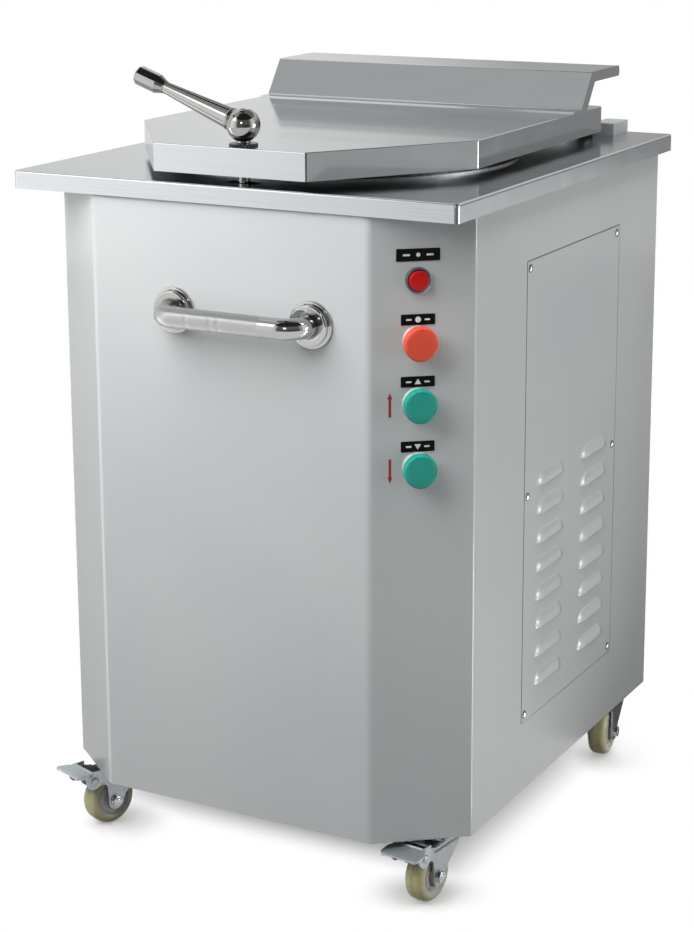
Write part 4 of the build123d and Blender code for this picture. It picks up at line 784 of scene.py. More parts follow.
@dataclass
class ClampLever:
    """Clamp lever of the lid: knurled bush, plated ball with a tapered arm, and a faceted knob."""

    ball_centre: tuple = (8.0, -274.65, 938.5)
    ball_over_lid: float = 24.0
    ball_radius: float = 20.0
    ball_flat: float = 8.0
    socket_radius: float = 4.2
    socket_depth: float = 4.0
    socket_edge: float = 0.6
    socket_gap: float = 0.05
    socket_fill: float = 0.1
    neck_radius: float = 8.5
    neck_drop: float = 20.6
    neck_edge: float = 0.5
    slope: float = 20.0
    arm_root: float = 12.9
    arm_start: float = 15.6
    arm_sunk: float = 8.0
    arm_tip: float = 7.0
    arm_length: float = 113.0
    collar_radius: float = 13.6
    collar_span: tuple = (0.6, 3.2)
    collar_edge: float = 1.0
    knob_length: float = 40.0
    knob_cone: float = 10.0
    knob_neck: float = 7.8
    knob_land: float = 1.0
    knob_across: float = 21.5
    knob_end: float = 2.4
    knob_crown: float = 0.3
    knob_sides: int = 8
    bush_radius: float = 17.0
    bush_height: float = 3.0
    bush_edge: float = 0.7
    bush_slope: float = 1.1
    bush_sleeve: float = 10.0
    bush_bore: float = 7.05
    knurls: int = 34
    knurl_depth: float = 0.7

    def build(self) -> None:
        """Make the bush, the lever with painted shade in its socket, and the knob."""
        self.bush()
        piece("clamp_lever_plated", self.ball() + self.arm(), BRIGHT_PLATE, "lever", "polished_chrome",
              ("clamp_lever",), crease=28)
        # A near-black disc just over the floor of the socket is painted shade in the hole
        floor = self.ball_top() - self.socket_depth + self.socket_fill
        disc = lathe([(0, 0), (self.socket_radius - self.socket_gap, 0)], ROUND_SMALL).lifted(floor)
        piece("clamp_lever_socket_shade", disc.at(Place(self.ball_centre)), SHADE_BLACK, "lever",
              "polished_chrome")
        piece("lever_knob_faceted", self.knob(), BRIGHT_PLATE, "lever", "polished_chrome", ("lever_knob",),
              crease=14)

    def ball_top(self) -> float:
        """Height of the ball's flat over its centre."""
        return math.sqrt(self.ball_radius**2 - self.ball_flat**2)

    def axis(self) -> Place:
        """Local axes with Z along the arm, from the ball's centre."""
        slope = math.radians(self.slope)
        return Place(self.ball_centre, (0.0, 1.0, 0.0), (-math.cos(slope), 0.0, math.sin(slope)))

    def ball(self) -> Surface:
        """Ball on its neck, with a flat on top and a socket in the flat.

        Returns:
            The ball, at its place.
        """
        top = self.ball_top()
        neck = math.sqrt(self.ball_radius**2 - self.neck_radius**2)
        angle = np.linspace(-math.asin(neck / self.ball_radius), math.asin(top / self.ball_radius), 60)
        round_part = self.ball_radius * np.column_stack([np.cos(angle), np.sin(angle)])
        under = [(0, -self.neck_drop), (self.neck_radius - self.neck_edge, -self.neck_drop),
                 (self.neck_radius, self.neck_edge - self.neck_drop)]
        bore = self.socket_radius
        floor = top - self.socket_depth
        over = [(bore + self.socket_edge, top), (bore, top - self.socket_edge), (bore, floor), (0, floor)]
        return lathe(np.vstack([under, round_part, over])).at(Place(self.ball_centre))

    def arm(self) -> Surface:
        """Tapered arm with a small collar where it leaves the ball.

        Returns:
            The arm, at its place.
        """
        start = self.arm_start
        low, high = (start + reach for reach in self.collar_span)
        corners = [(0, start - self.arm_sunk, 0), (self.arm_root, start - self.arm_sunk, 0),
                   (self.arm_root, start, 0.5), (self.collar_radius, low, 0.6),
                   (self.collar_radius, high, 0.6), (self.arm_root, high + self.collar_edge, 0.5),
                   (self.arm_tip, self.arm_length, 0), (0, self.arm_length, 0)]
        return lathe(rounded(corners, steps=5), ROUND_MIDDLE).at(self.axis())

    def knob(self) -> Surface:
        """Knob turned down to a cone at the arm and ground to slightly crowned flats along its grip.

        The crown mixes a share of the circle through the corners into the flats' radii.

        Returns:
            The knob, at its place.
        """
        flat = polygon(self.knob_across, self.knob_sides, 12 * self.knob_sides)
        corner = self.knob_across / 2 / math.cos(math.pi / self.knob_sides)
        flat = (1 - self.knob_crown) * flat + self.knob_crown * corner
        start = self.arm_length
        end = start + self.knob_length
        neck = np.full_like(flat, self.knob_neck)
        rows = [(0 * flat, start), (neck, start), (neck, start + self.knob_land),
                (flat, start + self.knob_cone), (flat, end - self.knob_end),
                (flat - 0.3 * self.knob_end, end - 0.4 * self.knob_end), (flat - self.knob_end, end),
                (0 * flat, end)]
        radius, height = zip(*rows)
        return turned(np.stack(radius), np.array(height)[:, None]).at(self.axis())

    def bush(self) -> None:
        """Flanged bush through the lid; its rim is cut by knurls, radius - depth |sin(knurls a / 2)|."""
        low, _ = box_mm("latch_bush")
        x, y, lid_top = np.array(self.ball_centre) - (0, 0, self.ball_over_lid)
        sleeve = low[2] - lid_top
        top = self.bush_height
        rows = [(self.bush_bore, sleeve, 0), (self.bush_sleeve, sleeve, 0), (self.bush_sleeve, 0, 0),
                (self.bush_radius, 0, 1), (self.bush_radius, top - self.bush_edge, 1),
                (self.bush_radius - self.bush_slope, top, 0.2), (self.neck_radius + 0.5, top, 0),
                (self.bush_bore, top - 0.6, 0)]
        radius, height, cut = (np.array(column)[:, None] for column in zip(*rows))
        knurl = np.abs(np.sin(self.knurls * angles(12 * self.knurls) / 2))
        surface = turned(radius - cut * self.knurl_depth * knurl, height, closed=True)
        piece("latch_bush_knurled", surface.at(Place((x, y, lid_top))), DARK_STEEL_AND_SHADE, "lid",
              "polished_chrome", ("latch_bush",), crease=25)


@dataclass
class GrabHandle:
    """Grab handle on the front: a bent tube in two stepped round flanges."""

    ends: tuple = (-73.0, 113.0)
    height: float = 718.0
    panel: float = -304.65
    standoff: float = 38.0
    sunk: float = 0.4
    bend: float = 22.0
    tube_radius: float = 12.7
    tube_rings: int = 260
    tube_steps: int = 64
    bore_gap: float = 0.15
    base_radius: float = 28.0
    base_height: float = 3.5
    cup_radius: float = 24.5
    cup_height: float = 10.0
    face_radius: float = 15.6
    mouth_depth: float = 2.4
    dents: tuple = (-27.0, 6.0, 17.0)
    dent_width: float = 2.6
    dent_depth: float = 0.45
    dent_turn: float = 0.5

    def build(self) -> None:
        """Make the bar and its flanges."""
        piece("handle_bar_bent", self.bar(), HANDLE_STEEL, "cabinet", "satin_steel", ("handle_bar",))
        flange = lathe(self.flange_profile(), closed=True)
        feet = [Place((x, self.panel, self.height), (1.0, 0.0, 0.0), (0.0, -1.0, 0.0)) for x in self.ends]
        piece("handle_flanges_stepped", whole(*(flange.at(foot) for foot in feet)), CHROME, "cabinet",
              "polished_chrome", ("handle_flanges",), crease=30)

    def bar(self) -> Surface:
        """Tube along its bent line, with a few shallow dents from use in the side that faces out.

        A dent lowers the radius by depth exp(-((x - place) / width)^2) max(0, outward part)^2.

        Returns:
            The tube, with its open ends inside the flanges.
        """
        left, right = self.ends
        out = self.panel - self.standoff
        root = self.panel - self.sunk
        line = rounded([(x, y, self.height, self.bend)
                        for x, y in ((left, root), (left, out), (right, out), (right, root))], steps=25)
        run = np.concatenate([[0], np.cumsum(np.linalg.norm(np.diff(line, axis=0), axis=1))])
        even = np.linspace(0, run[-1], self.tube_rings)
        path = np.column_stack([np.interp(even, run, line[:, k]) for k in range(3)])
        outward = np.clip(-np.cos(angles(self.tube_steps) - self.dent_turn), 0, 1)**2
        near = np.exp(-((path[:, 0][:, None] - np.array(self.dents)) / self.dent_width)**2).sum(axis=1)
        near *= path[:, 1] < out + 0.5
        radius = self.tube_radius - self.dent_depth * near[:, None] * outward
        return tube(path, radius, (0.0, 0.0, 1.0))

    def flange_profile(self) -> np.ndarray:
        """Closed profile of a flange: base ring, cup wall, wide flat face and a mouth at the tube.

        Returns:
            Points of (radius, height) over the panel.
        """
        bore = self.tube_radius + self.bore_gap
        base, cup = self.base_height, self.cup_height
        return rounded([(bore, 0, 0), (self.base_radius, 0, 0.3), (self.base_radius, base, 1.3),
                        (self.cup_radius + 0.9, base, 0.4), (self.cup_radius, base + 0.7, 0.4),
                        (self.cup_radius, cup, 2.2), (self.face_radius, cup - 0.5, 0.8),
                        (bore, cup - self.mouth_depth, 0.3)], closed=True)


@dataclass
class ControlPanel:
    """Devices on the chamfered corner: pilot lamp, three mushroom buttons, plates and two arrows."""

    corner: tuple = (187.0, -304.65)
    along: tuple = (0.77929874, 0.62665259, 0.0)
    device_along: float = 57.0
    pilot_height: float = 774.5
    button_heights: tuple = (704.0, 631.5, 555.0)
    head_radius: float = 20.0
    head_foot: float = 11.0
    head_top: float = 24.0
    rim_ring: float = 16.4
    ring_half: float = 0.7
    stem_radius: float = 6.0
    stem_sunk: float = 6.0
    collar_radius: float = 18.0
    collar_proud: float = 6.0
    collar_dish: float = 1.5
    bezel_radius: float = 15.0
    bezel_proud: float = 5.0
    seat_gap: float = 0.25
    seat_wall: float = 1.5
    lens_radius: float = 11.6
    lens_proud: float = 9.4
    plate_size: tuple = (39.6, 12.6)
    plate_rise: float = 25.0
    pilot_plate_size: tuple = (50.6, 14.5)
    pilot_plate_rise: float = 29.0
    plate_thickness: float = 1.0
    sign_radius: float = 3.4
    dot_share: float = 0.7
    sign_arrow: tuple = ((0.0, 3.6, 0.5), (-4.0, -2.8, 0.5), (4.0, -2.8, 0.5))
    bar_share: float = 0.16
    bar_place: float = 0.27
    arrow_along: float = 24.5
    arrow_drops: tuple = (1.3, 3.5)
    arrow_length: float = 29.0
    arrow_head: float = 7.6
    arrow_width: float = 5.8
    arrow_shaft: float = 3.0
    ink: float = 0.2
    ink_sunk: float = 0.1

    def build(self) -> None:
        """Make the devices from the top down."""
        self.pilot()
        buttons = (("stop", RED, "red_plastic"), ("start_up", GREEN, "green_plastic"),
                   ("start_down", GREEN, "green_plastic"))
        spots = [self.spot(height) for height in self.button_heights]
        for (name, finish, slot), spot in zip(buttons, spots):
            head = lathe(self.mushroom_profile()).at(spot)
            piece(f"{name}_mushroom", head, finish, name, slot, (f"{name}_button",), crease=40)
        collar = lathe(self.collar_profile(), closed=True)
        piece("button_collars_moulded", whole(*(collar.at(spot) for spot in spots)), PALE, "cabinet",
              "pale_plastic", ("button_collars",))
        self.plates()
        self.arrows()

    def spot(self, height: float, along: float | None = None) -> Place:
        """Local axes on the panel: X along it, Y up and Z out of it.

        Args:
            height: Height over the floor.
            along: Distance along the panel from its corner, or None for the line of the devices.

        Returns:
            The local axes.
        """
        reach = self.device_along if along is None else along
        origin = (self.corner[0] + reach * self.along[0], self.corner[1] + reach * self.along[1], height)
        return Place(origin, self.along, (self.along[1], -self.along[0], 0.0))

    def collar_profile(self) -> np.ndarray:
        """Closed profile of a collar: upright rim, a rounded edge and a dished face down to the stem.

        Returns:
            Points of (radius, height) over the panel.
        """
        bore = self.stem_radius + 0.1
        rim = self.collar_radius
        proud = self.collar_proud
        dish = proud - self.collar_dish
        return rounded([(bore, 0, 0), (rim, 0, 0.2), (rim, proud - 0.4, 1.4), (rim - 3, proud, 1.2),
                        (bore + 2, dish, 0.6), (bore, dish, 0.2)], closed=True, steps=6)

    def mushroom_profile(self) -> np.ndarray:
        """Stem, hollow underside, rounded rim and a nearly flat top inside a fine ring groove.

        Returns:
            Points of (radius, height) over the panel.
        """
        rim, ring, stem = self.head_radius, self.rim_ring, self.stem_radius
        foot, top, sunk = self.head_foot, self.head_top, -self.stem_sunk
        return rounded([(0, sunk, 0), (stem, sunk, 0), (stem, foot + 1, 1.0), (rim - 4, foot, 0),
                        (rim, foot + 0.4, 1.6), (rim, top - 1.4, 2.4),
                        (ring + self.ring_half, top - 0.5, 0.3), (ring, top - 1.0, 0.2),
                        (ring - self.ring_half, top - 0.5, 0.3), (0, top - 0.1, 0)], steps=8)

    def pilot(self) -> None:
        """Satin bezel with a black seat inside it, and the red lens."""
        inner = self.lens_radius + self.seat_gap
        outer = inner + self.seat_wall
        rim, proud = self.bezel_radius, self.bezel_proud
        bezel = rounded([(outer, 0, 0), (rim, 0, 0.3), (rim, proud - 1, 0.8), (rim - 1.1, proud, 0.6),
                         (outer, proud, 0.4)], closed=True, steps=6)
        seat = rounded([(inner, 0.3, 0), (outer, 0.3, 0), (outer, proud + 0.9, 0.5),
                        (inner, proud + 1.4, 0.4)], closed=True, steps=5)
        lens = rounded([(0, 0.4, 0), (self.lens_radius, 0.4, 0.2),
                        (self.lens_radius, self.lens_proud - 0.6, 1.8), (0, self.lens_proud, 0)], steps=9)
        place = self.spot(self.pilot_height)
        piece("pilot_bezel_ring", lathe(bezel, closed=True).at(place), BEZEL, "cabinet", "polished_chrome",
              ("pilot_bezel",))
        piece("pilot_seat_ring", lathe(seat, closed=True).at(place), BLACK, "cabinet", "black_plastic")
        piece("pilot_lens_domed", lathe(lens).at(place), LENS, "cabinet", "red_lens", ("pilot_lens",))

    def oblong(self, size: tuple, radius: float) -> np.ndarray:
        """Rectangle about the origin with rounded corners.

        Args:
            size: Its width and height.
            radius: Radius of its corners.

        Returns:
            The outline's points.
        """
        x, y = size[0] / 2, size[1] / 2
        return rounded([(x, y, radius), (-x, y, radius), (-x, -y, radius), (x, -y, radius)],
                       closed=True, steps=5)

    def plates(self) -> None:
        """Black plates over the devices, each with a plain sign between bars."""
        angle = angles(32)
        ring = self.sign_radius * np.column_stack([np.cos(angle), np.sin(angle)])
        arrow = rounded(self.sign_arrow, closed=True, steps=4)
        signs = [ring * self.dot_share, ring, arrow, arrow * (1, -1)]
        places = [self.spot(self.pilot_height + self.pilot_plate_rise)]
        places += [self.spot(height + self.plate_rise) for height in self.button_heights]
        sizes = [self.pilot_plate_size] + 3 * [self.plate_size]
        top = self.plate_thickness
        blanks = []
        inks = []
        for sign, place, size in zip(signs, places, sizes):
            blanks.append(prism(self.oblong(size, 1.0), 0, top).at(place))
            bar = self.oblong((self.bar_share * size[0], self.bar_share * size[1]), 0.4)
            shift = self.bar_place * size[0]
            for mark in (sign, bar - (shift, 0), bar + (shift, 0)):
                inks.append(prism(mark, top - self.ink_sunk, top + self.ink).at(place))
        piece("legend_blanks", whole(*blanks), PLATE_BLACK, "cabinet", "black_plastic", ("legend_plates",),
              bevel=0.3)
        piece("legend_signs", whole(*inks), WHITE_INK, "cabinet", "pale_plastic")

    def arrows(self) -> None:
        """Two thin painted arrows beside the start buttons, one up and one down."""
        half = self.arrow_length / 2
        neck = half - self.arrow_head
        side, wing = self.arrow_shaft / 2, self.arrow_width / 2
        up = np.array([(0, half), (-wing, neck), (-side, neck), (-side, -half), (side, -half),
                       (side, neck), (wing, neck)])
        marks = []
        for outline, height, drop in zip((up, up * (1, -1)), self.button_heights[1:], self.arrow_drops):
            mark = prism(outline, -self.ink_sunk, self.ink)
            marks.append(mark.at(self.spot(height - drop, self.arrow_along)))
        piece("direction_arrows", whole(*marks), RED_INK, "cabinet", "red_plastic")


@dataclass
class Caster:
    """Swivel caster: pressed fork on a double race, ribbed nylon wheel on a bolt, and a brake pedal.

    Where a line or outline has three columns, the last one is the radius of the arc at each corner.
    """

    name: str
    tread_line: tuple = ()
    wheel_radius: float = 34.0
    wheel_half: float = 13.0
    tread_round: float = 7.5
    tread_from: float = 26.4
    tread_sunk: float = 0.1
    parting: tuple = (0.9, 0.7)
    hub_radius: float = 10.0
    bore: float = 4.05
    # Two ring grooves, out from the hub's radius and the wheel's face
    groove_line: tuple = (
        (-0.6, 0.0, 0.6), (0.4, -3.4, 0.5), (3.0, -3.6, 0.5), (4.2, -0.8, 0.9), (8.6, -0.4, 0.9),
        (9.8, -3.2, 0.5), (12.4, -3.2, 0.5), (13.8, -0.2, 0.9))
    leg_inner: float = 15.5
    leg_outer: float = 18.5
    leg_foot: float = 12.0
    leg_top: float = 72.0
    yoke_back: float = -22.0
    yoke_front: float = 33.0
    yoke_top: float = 76.5
    yoke_skirt: float = 9.0
    yoke_bends: tuple = (4.5, 1.6)
    sheared_edge: float = 0.4
    crown_top: float = 86.5
    crown_radius: float = 23.0
    crown_bore: float = 5.3
    # Two races of the crown, out from its radius and up from the yoke
    race_line: tuple = (
        (-1.6, 0.0, 0.5), (0.0, 1.4, 0.8), (0.0, 3.8, 0.8), (-2.0, 4.8, 0.4), (-2.0, 5.6, 0.4),
        (-0.4, 6.4, 0.7), (-0.4, 7.8, 0.7))
    crown_slope: float = 2.4
    nut_across: float = 13.0
    nut_height: float = 3.4
    nut_turn: tuple = (0.3, 0.2, 1.0)
    washer_radius: float = 8.2
    washer_height: float = 1.1
    bolt_radius: float = 4.0
    bolt_tip: tuple = (3.9, 5.2, 5.9)
    pivot_reach: float = 57.0
    pivot_height: float = 71.0
    arm_radius: float = 9.5
    ear_radius: float = 11.0
    ear_inner: float = 19.0
    ear_outer: float = 21.0
    rivet_line: tuple = (
        (0.0, -2.0, 0.0), (5.6, -2.0, 0.0), (5.6, 0.7, 0.5), (3.8, 1.9, 1.5), (0.0, 2.3, 0.0))
    # The tongue's bars and the spring block, from the pedal's pivot, dark as painted shade
    bar_outline: tuple = ((8.0, 9.0), (11.4, 9.0), (-1.0, -13.0), (-4.4, -13.0))
    bar_span: tuple = (3.0, 10.0)
    block_outline: tuple = (
        (-11.0, -1.0, 1.5), (6.0, -4.0, 1.5), (12.0, 7.0, 1.5), (2.0, 9.5, 1.5), (-11.0, 10.0, 1.5))
    block_half: float = 14.5
    channel_back: float = 45.0
    tread_half: float = 27.0
    tread_corner: float = 7.0
    tread_sheet: float = 2.5
    flare: float = 14.0
    lip_rise: float = 1.6
    lip_length: float = 2.6
    tip_fall: float = 1.0
    tip_length: float = 4.0
    side_fall: float = 1.2
    # Points on either side over which the tread's line is smoothed
    blur: int = 6

    def __post_init__(self) -> None:
        """Read the caster's axes from its joints."""
        roll = joint_of(f"{self.name}_roll")
        swivel = joint_of(f"{self.name}_swivel")
        self.across = np.array(roll["axis"])
        self.ahead = np.array([self.across[1], -self.across[0], 0.0])
        self.hub = np.array(roll["pos_m"]) / MM
        self.pivot = np.array([*swivel["pos_m"][:2], 0.0]) / MM
        self.trail = float((self.hub - self.pivot) @ self.ahead)
        self.axle_height = float(self.hub[2])
        self.side = Place(self.pivot, self.ahead, -self.across)
        self.axle = Place(self.hub, (0.0, 0.0, 1.0), self.across)

    def build(self) -> None:
        """Make the wheel, the fork, the bolt and, on a braked caster, the pedal."""
        core = lathe(self.core_profile(), closed=True).at(self.axle)
        self.own("wheel_core", core, NYLON, "roller", "cream_nylon", "wheel", crease=30)
        tread = lathe(self.tread_profile(), closed=True).at(self.axle)
        self.own("wheel_tread", tread, TREAD, "roller", "cream_nylon", crease=30)
        self.own("pressed_fork", self.fork(), ZINC, "caster", "zinc_plate", "fork", bevel=0.7, crease=40)
        self.own("bolt", self.bolt(), BRIGHT_ZINC, "caster", "zinc_plate", "axle", crease=30)
        if self.tread_line:
            # The bars and the spring block are dark as painted shade under the tread
            self.own("brake_bars_in_painted_shade", self.bars(), DARK_STEEL_AND_SHADE, "brake", "zinc_plate", bevel=0.5)
            self.own("pedal", self.pedal(), PEDAL_ZINC, "brake", "zinc_plate", "brake_pedal", bevel=0.5,
                     crease=40)
            self.own("pedal_spring_block_in_painted_shade", self.spring_block(), SHADE_BLACK, "brake", "black_plastic",
                     bevel=0.6)

    def own(self, part: str, surface: Surface, finish: Finish, body: str, slot: str, node: str = "",
            **edges: float) -> None:
        """Make a piece whose name, body and replaced node start with the caster's name.

        Args:
            part: The rest of the piece's name.
            surface: Its points and faces.
            finish: Its finish.
            body: The rest of its body's name.
            slot: The record's material slot.
            node: The rest of the name of the CAD node that it stands for, if any.
            edges: Its bevel and crease.
        """
        replaces = (f"{self.name}_{node}",) if node else ()
        piece(f"{self.name}_{part}", surface, finish, f"{self.name}_{body}", slot, replaces, **edges)

    def core_profile(self) -> np.ndarray:
        """Closed profile of the wheel's core: hub and two ring grooves in each face.

        Returns:
            Points of (radius, distance from the wheel's middle).
        """
        face = self.wheel_half
        grooves = np.array(self.groove_line) + (self.hub_radius, face, 0)
        half = rounded([(self.bore, face, 0), *grooves, (self.tread_from, face - self.tread_sunk, 0),
                        (self.tread_from, 0, 0)])
        return np.vstack([half, half[-2::-1] * (1, -1)])

    def tread_profile(self) -> np.ndarray:
        """Closed profile of the tread: round shoulders and a parting line round its middle.

        Returns:
            Points of (radius, distance from the wheel's middle).
        """
        face = self.wheel_half - self.tread_sunk
        rim = self.wheel_radius
        width, depth = self.parting
        half = rounded([(self.tread_from, face, 0), (rim - 0.6, face, self.tread_round), (rim, width, 0.3),
                        (rim - depth, 0.0, 0)], steps=12)
        return np.vstack([half, half[-2::-1] * (1, -1)])

    def leg_outline(self) -> np.ndarray:
        """Side outline of a leg: slanted rear edge, upright front edge, round foot, and the pedal's arm.

        Returns:
            Points of (ahead, up) from under the swivel.
        """
        foot = self.leg_foot
        trail, axle = self.trail, self.axle_height
        under = self.leg_top
        corners = [(self.yoke_back, under, 0.5)]
        if self.tread_line:
            reach = self.pivot_reach + self.arm_radius
            over = self.pivot_height + self.arm_radius
            low = self.pivot_height - self.arm_radius
            corners += [(self.yoke_front - 2, under, 2), (self.yoke_front + 2, self.yoke_top, 4),
                        (self.pivot_reach - 4, over, 8), (reach, over, self.arm_radius - 0.2),
                        (reach, low, self.arm_radius - 0.2), (trail + foot + 1.5, low, 8)]
        else:
            corners += [(self.yoke_front, under, 1), (self.yoke_front, under - 6, 5)]
        corners += [(trail + foot, axle + 8, 12), (trail + foot, axle - foot, foot - 0.1),
                    (trail - foot, axle - foot, foot - 0.1), (trail - foot - 0.5, axle + 4, 14),
                    (self.yoke_back, under - 7, 7)]
        return rounded(corners, closed=True, steps=9)

    def fork(self) -> Surface:
        """Crown with two races, a yoke bent down at its sides, and the two legs.

        Returns:
            The fork, at its place.
        """
        foot, top = self.yoke_top, self.crown_top
        races = np.array(self.race_line) + (self.crown_radius, foot, 0)
        crown = rounded([(self.crown_bore, foot, 0), *races,
                         (self.crown_radius - self.crown_slope, top, 0.5), (self.crown_bore, top, 0)],
                        closed=True, steps=5)
        inner, outer = self.leg_inner, self.leg_outer
        under = foot - (outer - inner)
        skirt = foot - self.yoke_skirt
        edge = self.sheared_edge
        wide, tight = self.yoke_bends
        bent = rounded([(outer, skirt, edge), (outer, foot, wide), (-outer, foot, wide),
                        (-outer, skirt, edge), (-inner, skirt, edge), (-inner, under, tight),
                        (inner, under, tight), (inner, skirt, edge)], closed=True, steps=8)
        section = Place(self.pivot, self.across, self.ahead)
        return whole(lathe(crown, closed=True).at(Place(self.pivot)),
                     prism(bent, self.yoke_back, self.yoke_front).at(section),
                     *self.mirrored(self.leg_outline(), (inner, outer)))

    def bolt(self) -> Surface:
        """Axle bolt: a washer, a hexagon and the bolt's round tip at each end of the shank.

        Returns:
            The bolt, at its place.
        """
        rim, thick = self.washer_radius, self.washer_height
        washer = rounded([(0, 0, 0), (rim, 0, 0.2), (rim, thick, 0.4), (0, thick, 0)], steps=4)
        radius, shoulder, length = self.bolt_tip
        tip = rounded([(0, 0, 0), (radius, 0, 0), (radius, shoulder, 0.8), (0, length, 0)], steps=4)
        nut = hex_head(self.nut_across, self.nut_height).lifted(thick)
        end = whole(lathe(washer, ROUND_SMALL), lathe(tip, ROUND_SMALL), nut).lifted(self.leg_outer)
        ends = [end.at(Place(self.hub, self.nut_turn, sense * self.across)) for sense in (-1, 1)]
        shank = lathe([(0, -self.leg_outer), (self.bolt_radius, -self.leg_outer),
                       (self.bolt_radius, self.leg_outer), (0, self.leg_outer)], ROUND_SMALL)
        return whole(*ends, shank.at(self.axle))

    def mirrored(self, outline: np.ndarray, span: tuple) -> list[Surface]:
        """The two prisms of a side outline, on either side of the wheel."""
        near, far = span
        return [prism(outline, *limits).at(self.side) for limits in ((-far, -near), (near, far))]

    def bars(self) -> Surface:
        """The two bars of the brake's tongue, dark as painted shade under the tread."""
        outline = np.array(self.bar_outline) + (self.pivot_reach, self.pivot_height)
        return whole(*self.mirrored(outline, self.bar_span))

    def spring_block(self) -> Surface:
        """The brake's spring block under the tread, near-black as painted shade."""
        outline = np.array(self.block_outline) + (self.pivot_reach, self.pivot_height, 0)
        return prism(rounded(outline, closed=True, steps=5), -self.block_half, self.block_half).at(self.side)

    def pedal(self) -> Surface:
        """Brake pedal: flared tread and two ears on a rivet.

        Returns:
            The pedal, at its place.
        """
        start, _, knee, _ = self.tread_line
        foot = self.pivot_height - self.ear_radius
        ear_round = self.ear_radius - 0.1
        outline = rounded([(self.channel_back, start[1] + 0.8, 1),
                           (self.pivot_reach - self.ear_radius, foot, ear_round),
                           (self.pivot_reach + self.ear_radius, foot, ear_round),
                           (knee[0], knee[1] - 1.2, 1), (start[0], start[1] + 0.6, 1)],
                          closed=True, steps=10)
        rivet = lathe(rounded(self.rivet_line, steps=6), ROUND_SMALL).lifted(self.ear_outer)
        centre = self.pivot + self.pivot_reach * self.ahead + (0, 0, self.pivot_height)
        surface = self.tread()
        for ear, sense in zip(self.mirrored(outline, (self.ear_inner, self.ear_outer)), (-1, 1)):
            surface += ear + rivet.at(Place(centre, (0.0, 0.0, 1.0), sense * self.across))
        return surface

    def tread(self) -> Surface:
        """Flared tread plate with rounded front corners.

        At each distance u ahead the plate is a flat loop of half-width h(u): it widens by a smooth step
        from the ears to the full width, and the front corners take r - sqrt(r r - (u - (tip - r))^2) off
        it. The top follows its line, turned up to a lip at the rear, and falls at the sides and the tip.

        Returns:
            The tread, at its place.
        """
        line = np.array(self.tread_line)
        start, tip = line[0, 0], line[-1, 0]
        round_from = tip - self.tread_corner
        bend = np.sin(np.linspace(0.06, 0.499 * math.pi, 16))
        reach = np.concatenate([np.linspace(start, round_from, 70), tip - self.tread_corner * (1 - bend)])
        widening = smooth_step((reach - self.pivot_reach) / self.flare)
        half = self.ear_outer + (self.tread_half - self.ear_outer) * widening
        corner = np.clip(reach - round_from, 0, self.tread_corner)
        half = half - self.tread_corner + np.sqrt(self.tread_corner**2 - corner**2)
        share = np.sin(np.linspace(-math.pi / 2, math.pi / 2, 41))
        top = np.interp(reach, line[:, 0], line[:, 1])
        window = 2 * self.blur + 1
        top = np.convolve(np.pad(top, self.blur, mode="edge"), np.ones(window) / window, mode="valid")
        top = top + self.lip_rise * smooth_step((start + self.lip_length - reach) / self.lip_length)
        top = top - self.tip_fall * smooth_step((reach - tip + self.tip_length) / self.tip_length)
        fall = self.side_fall * np.abs(share)**14
        across = half[:, None] * share
        upper = np.stack([reach[:, None] + 0 * across, across, top[:, None] - fall], axis=-1)
        lower = upper[:, ::-1] - (0, 0, self.tread_sheet)
        return loft(np.concatenate([upper, lower], axis=1)).at(Place(self.pivot, self.ahead))


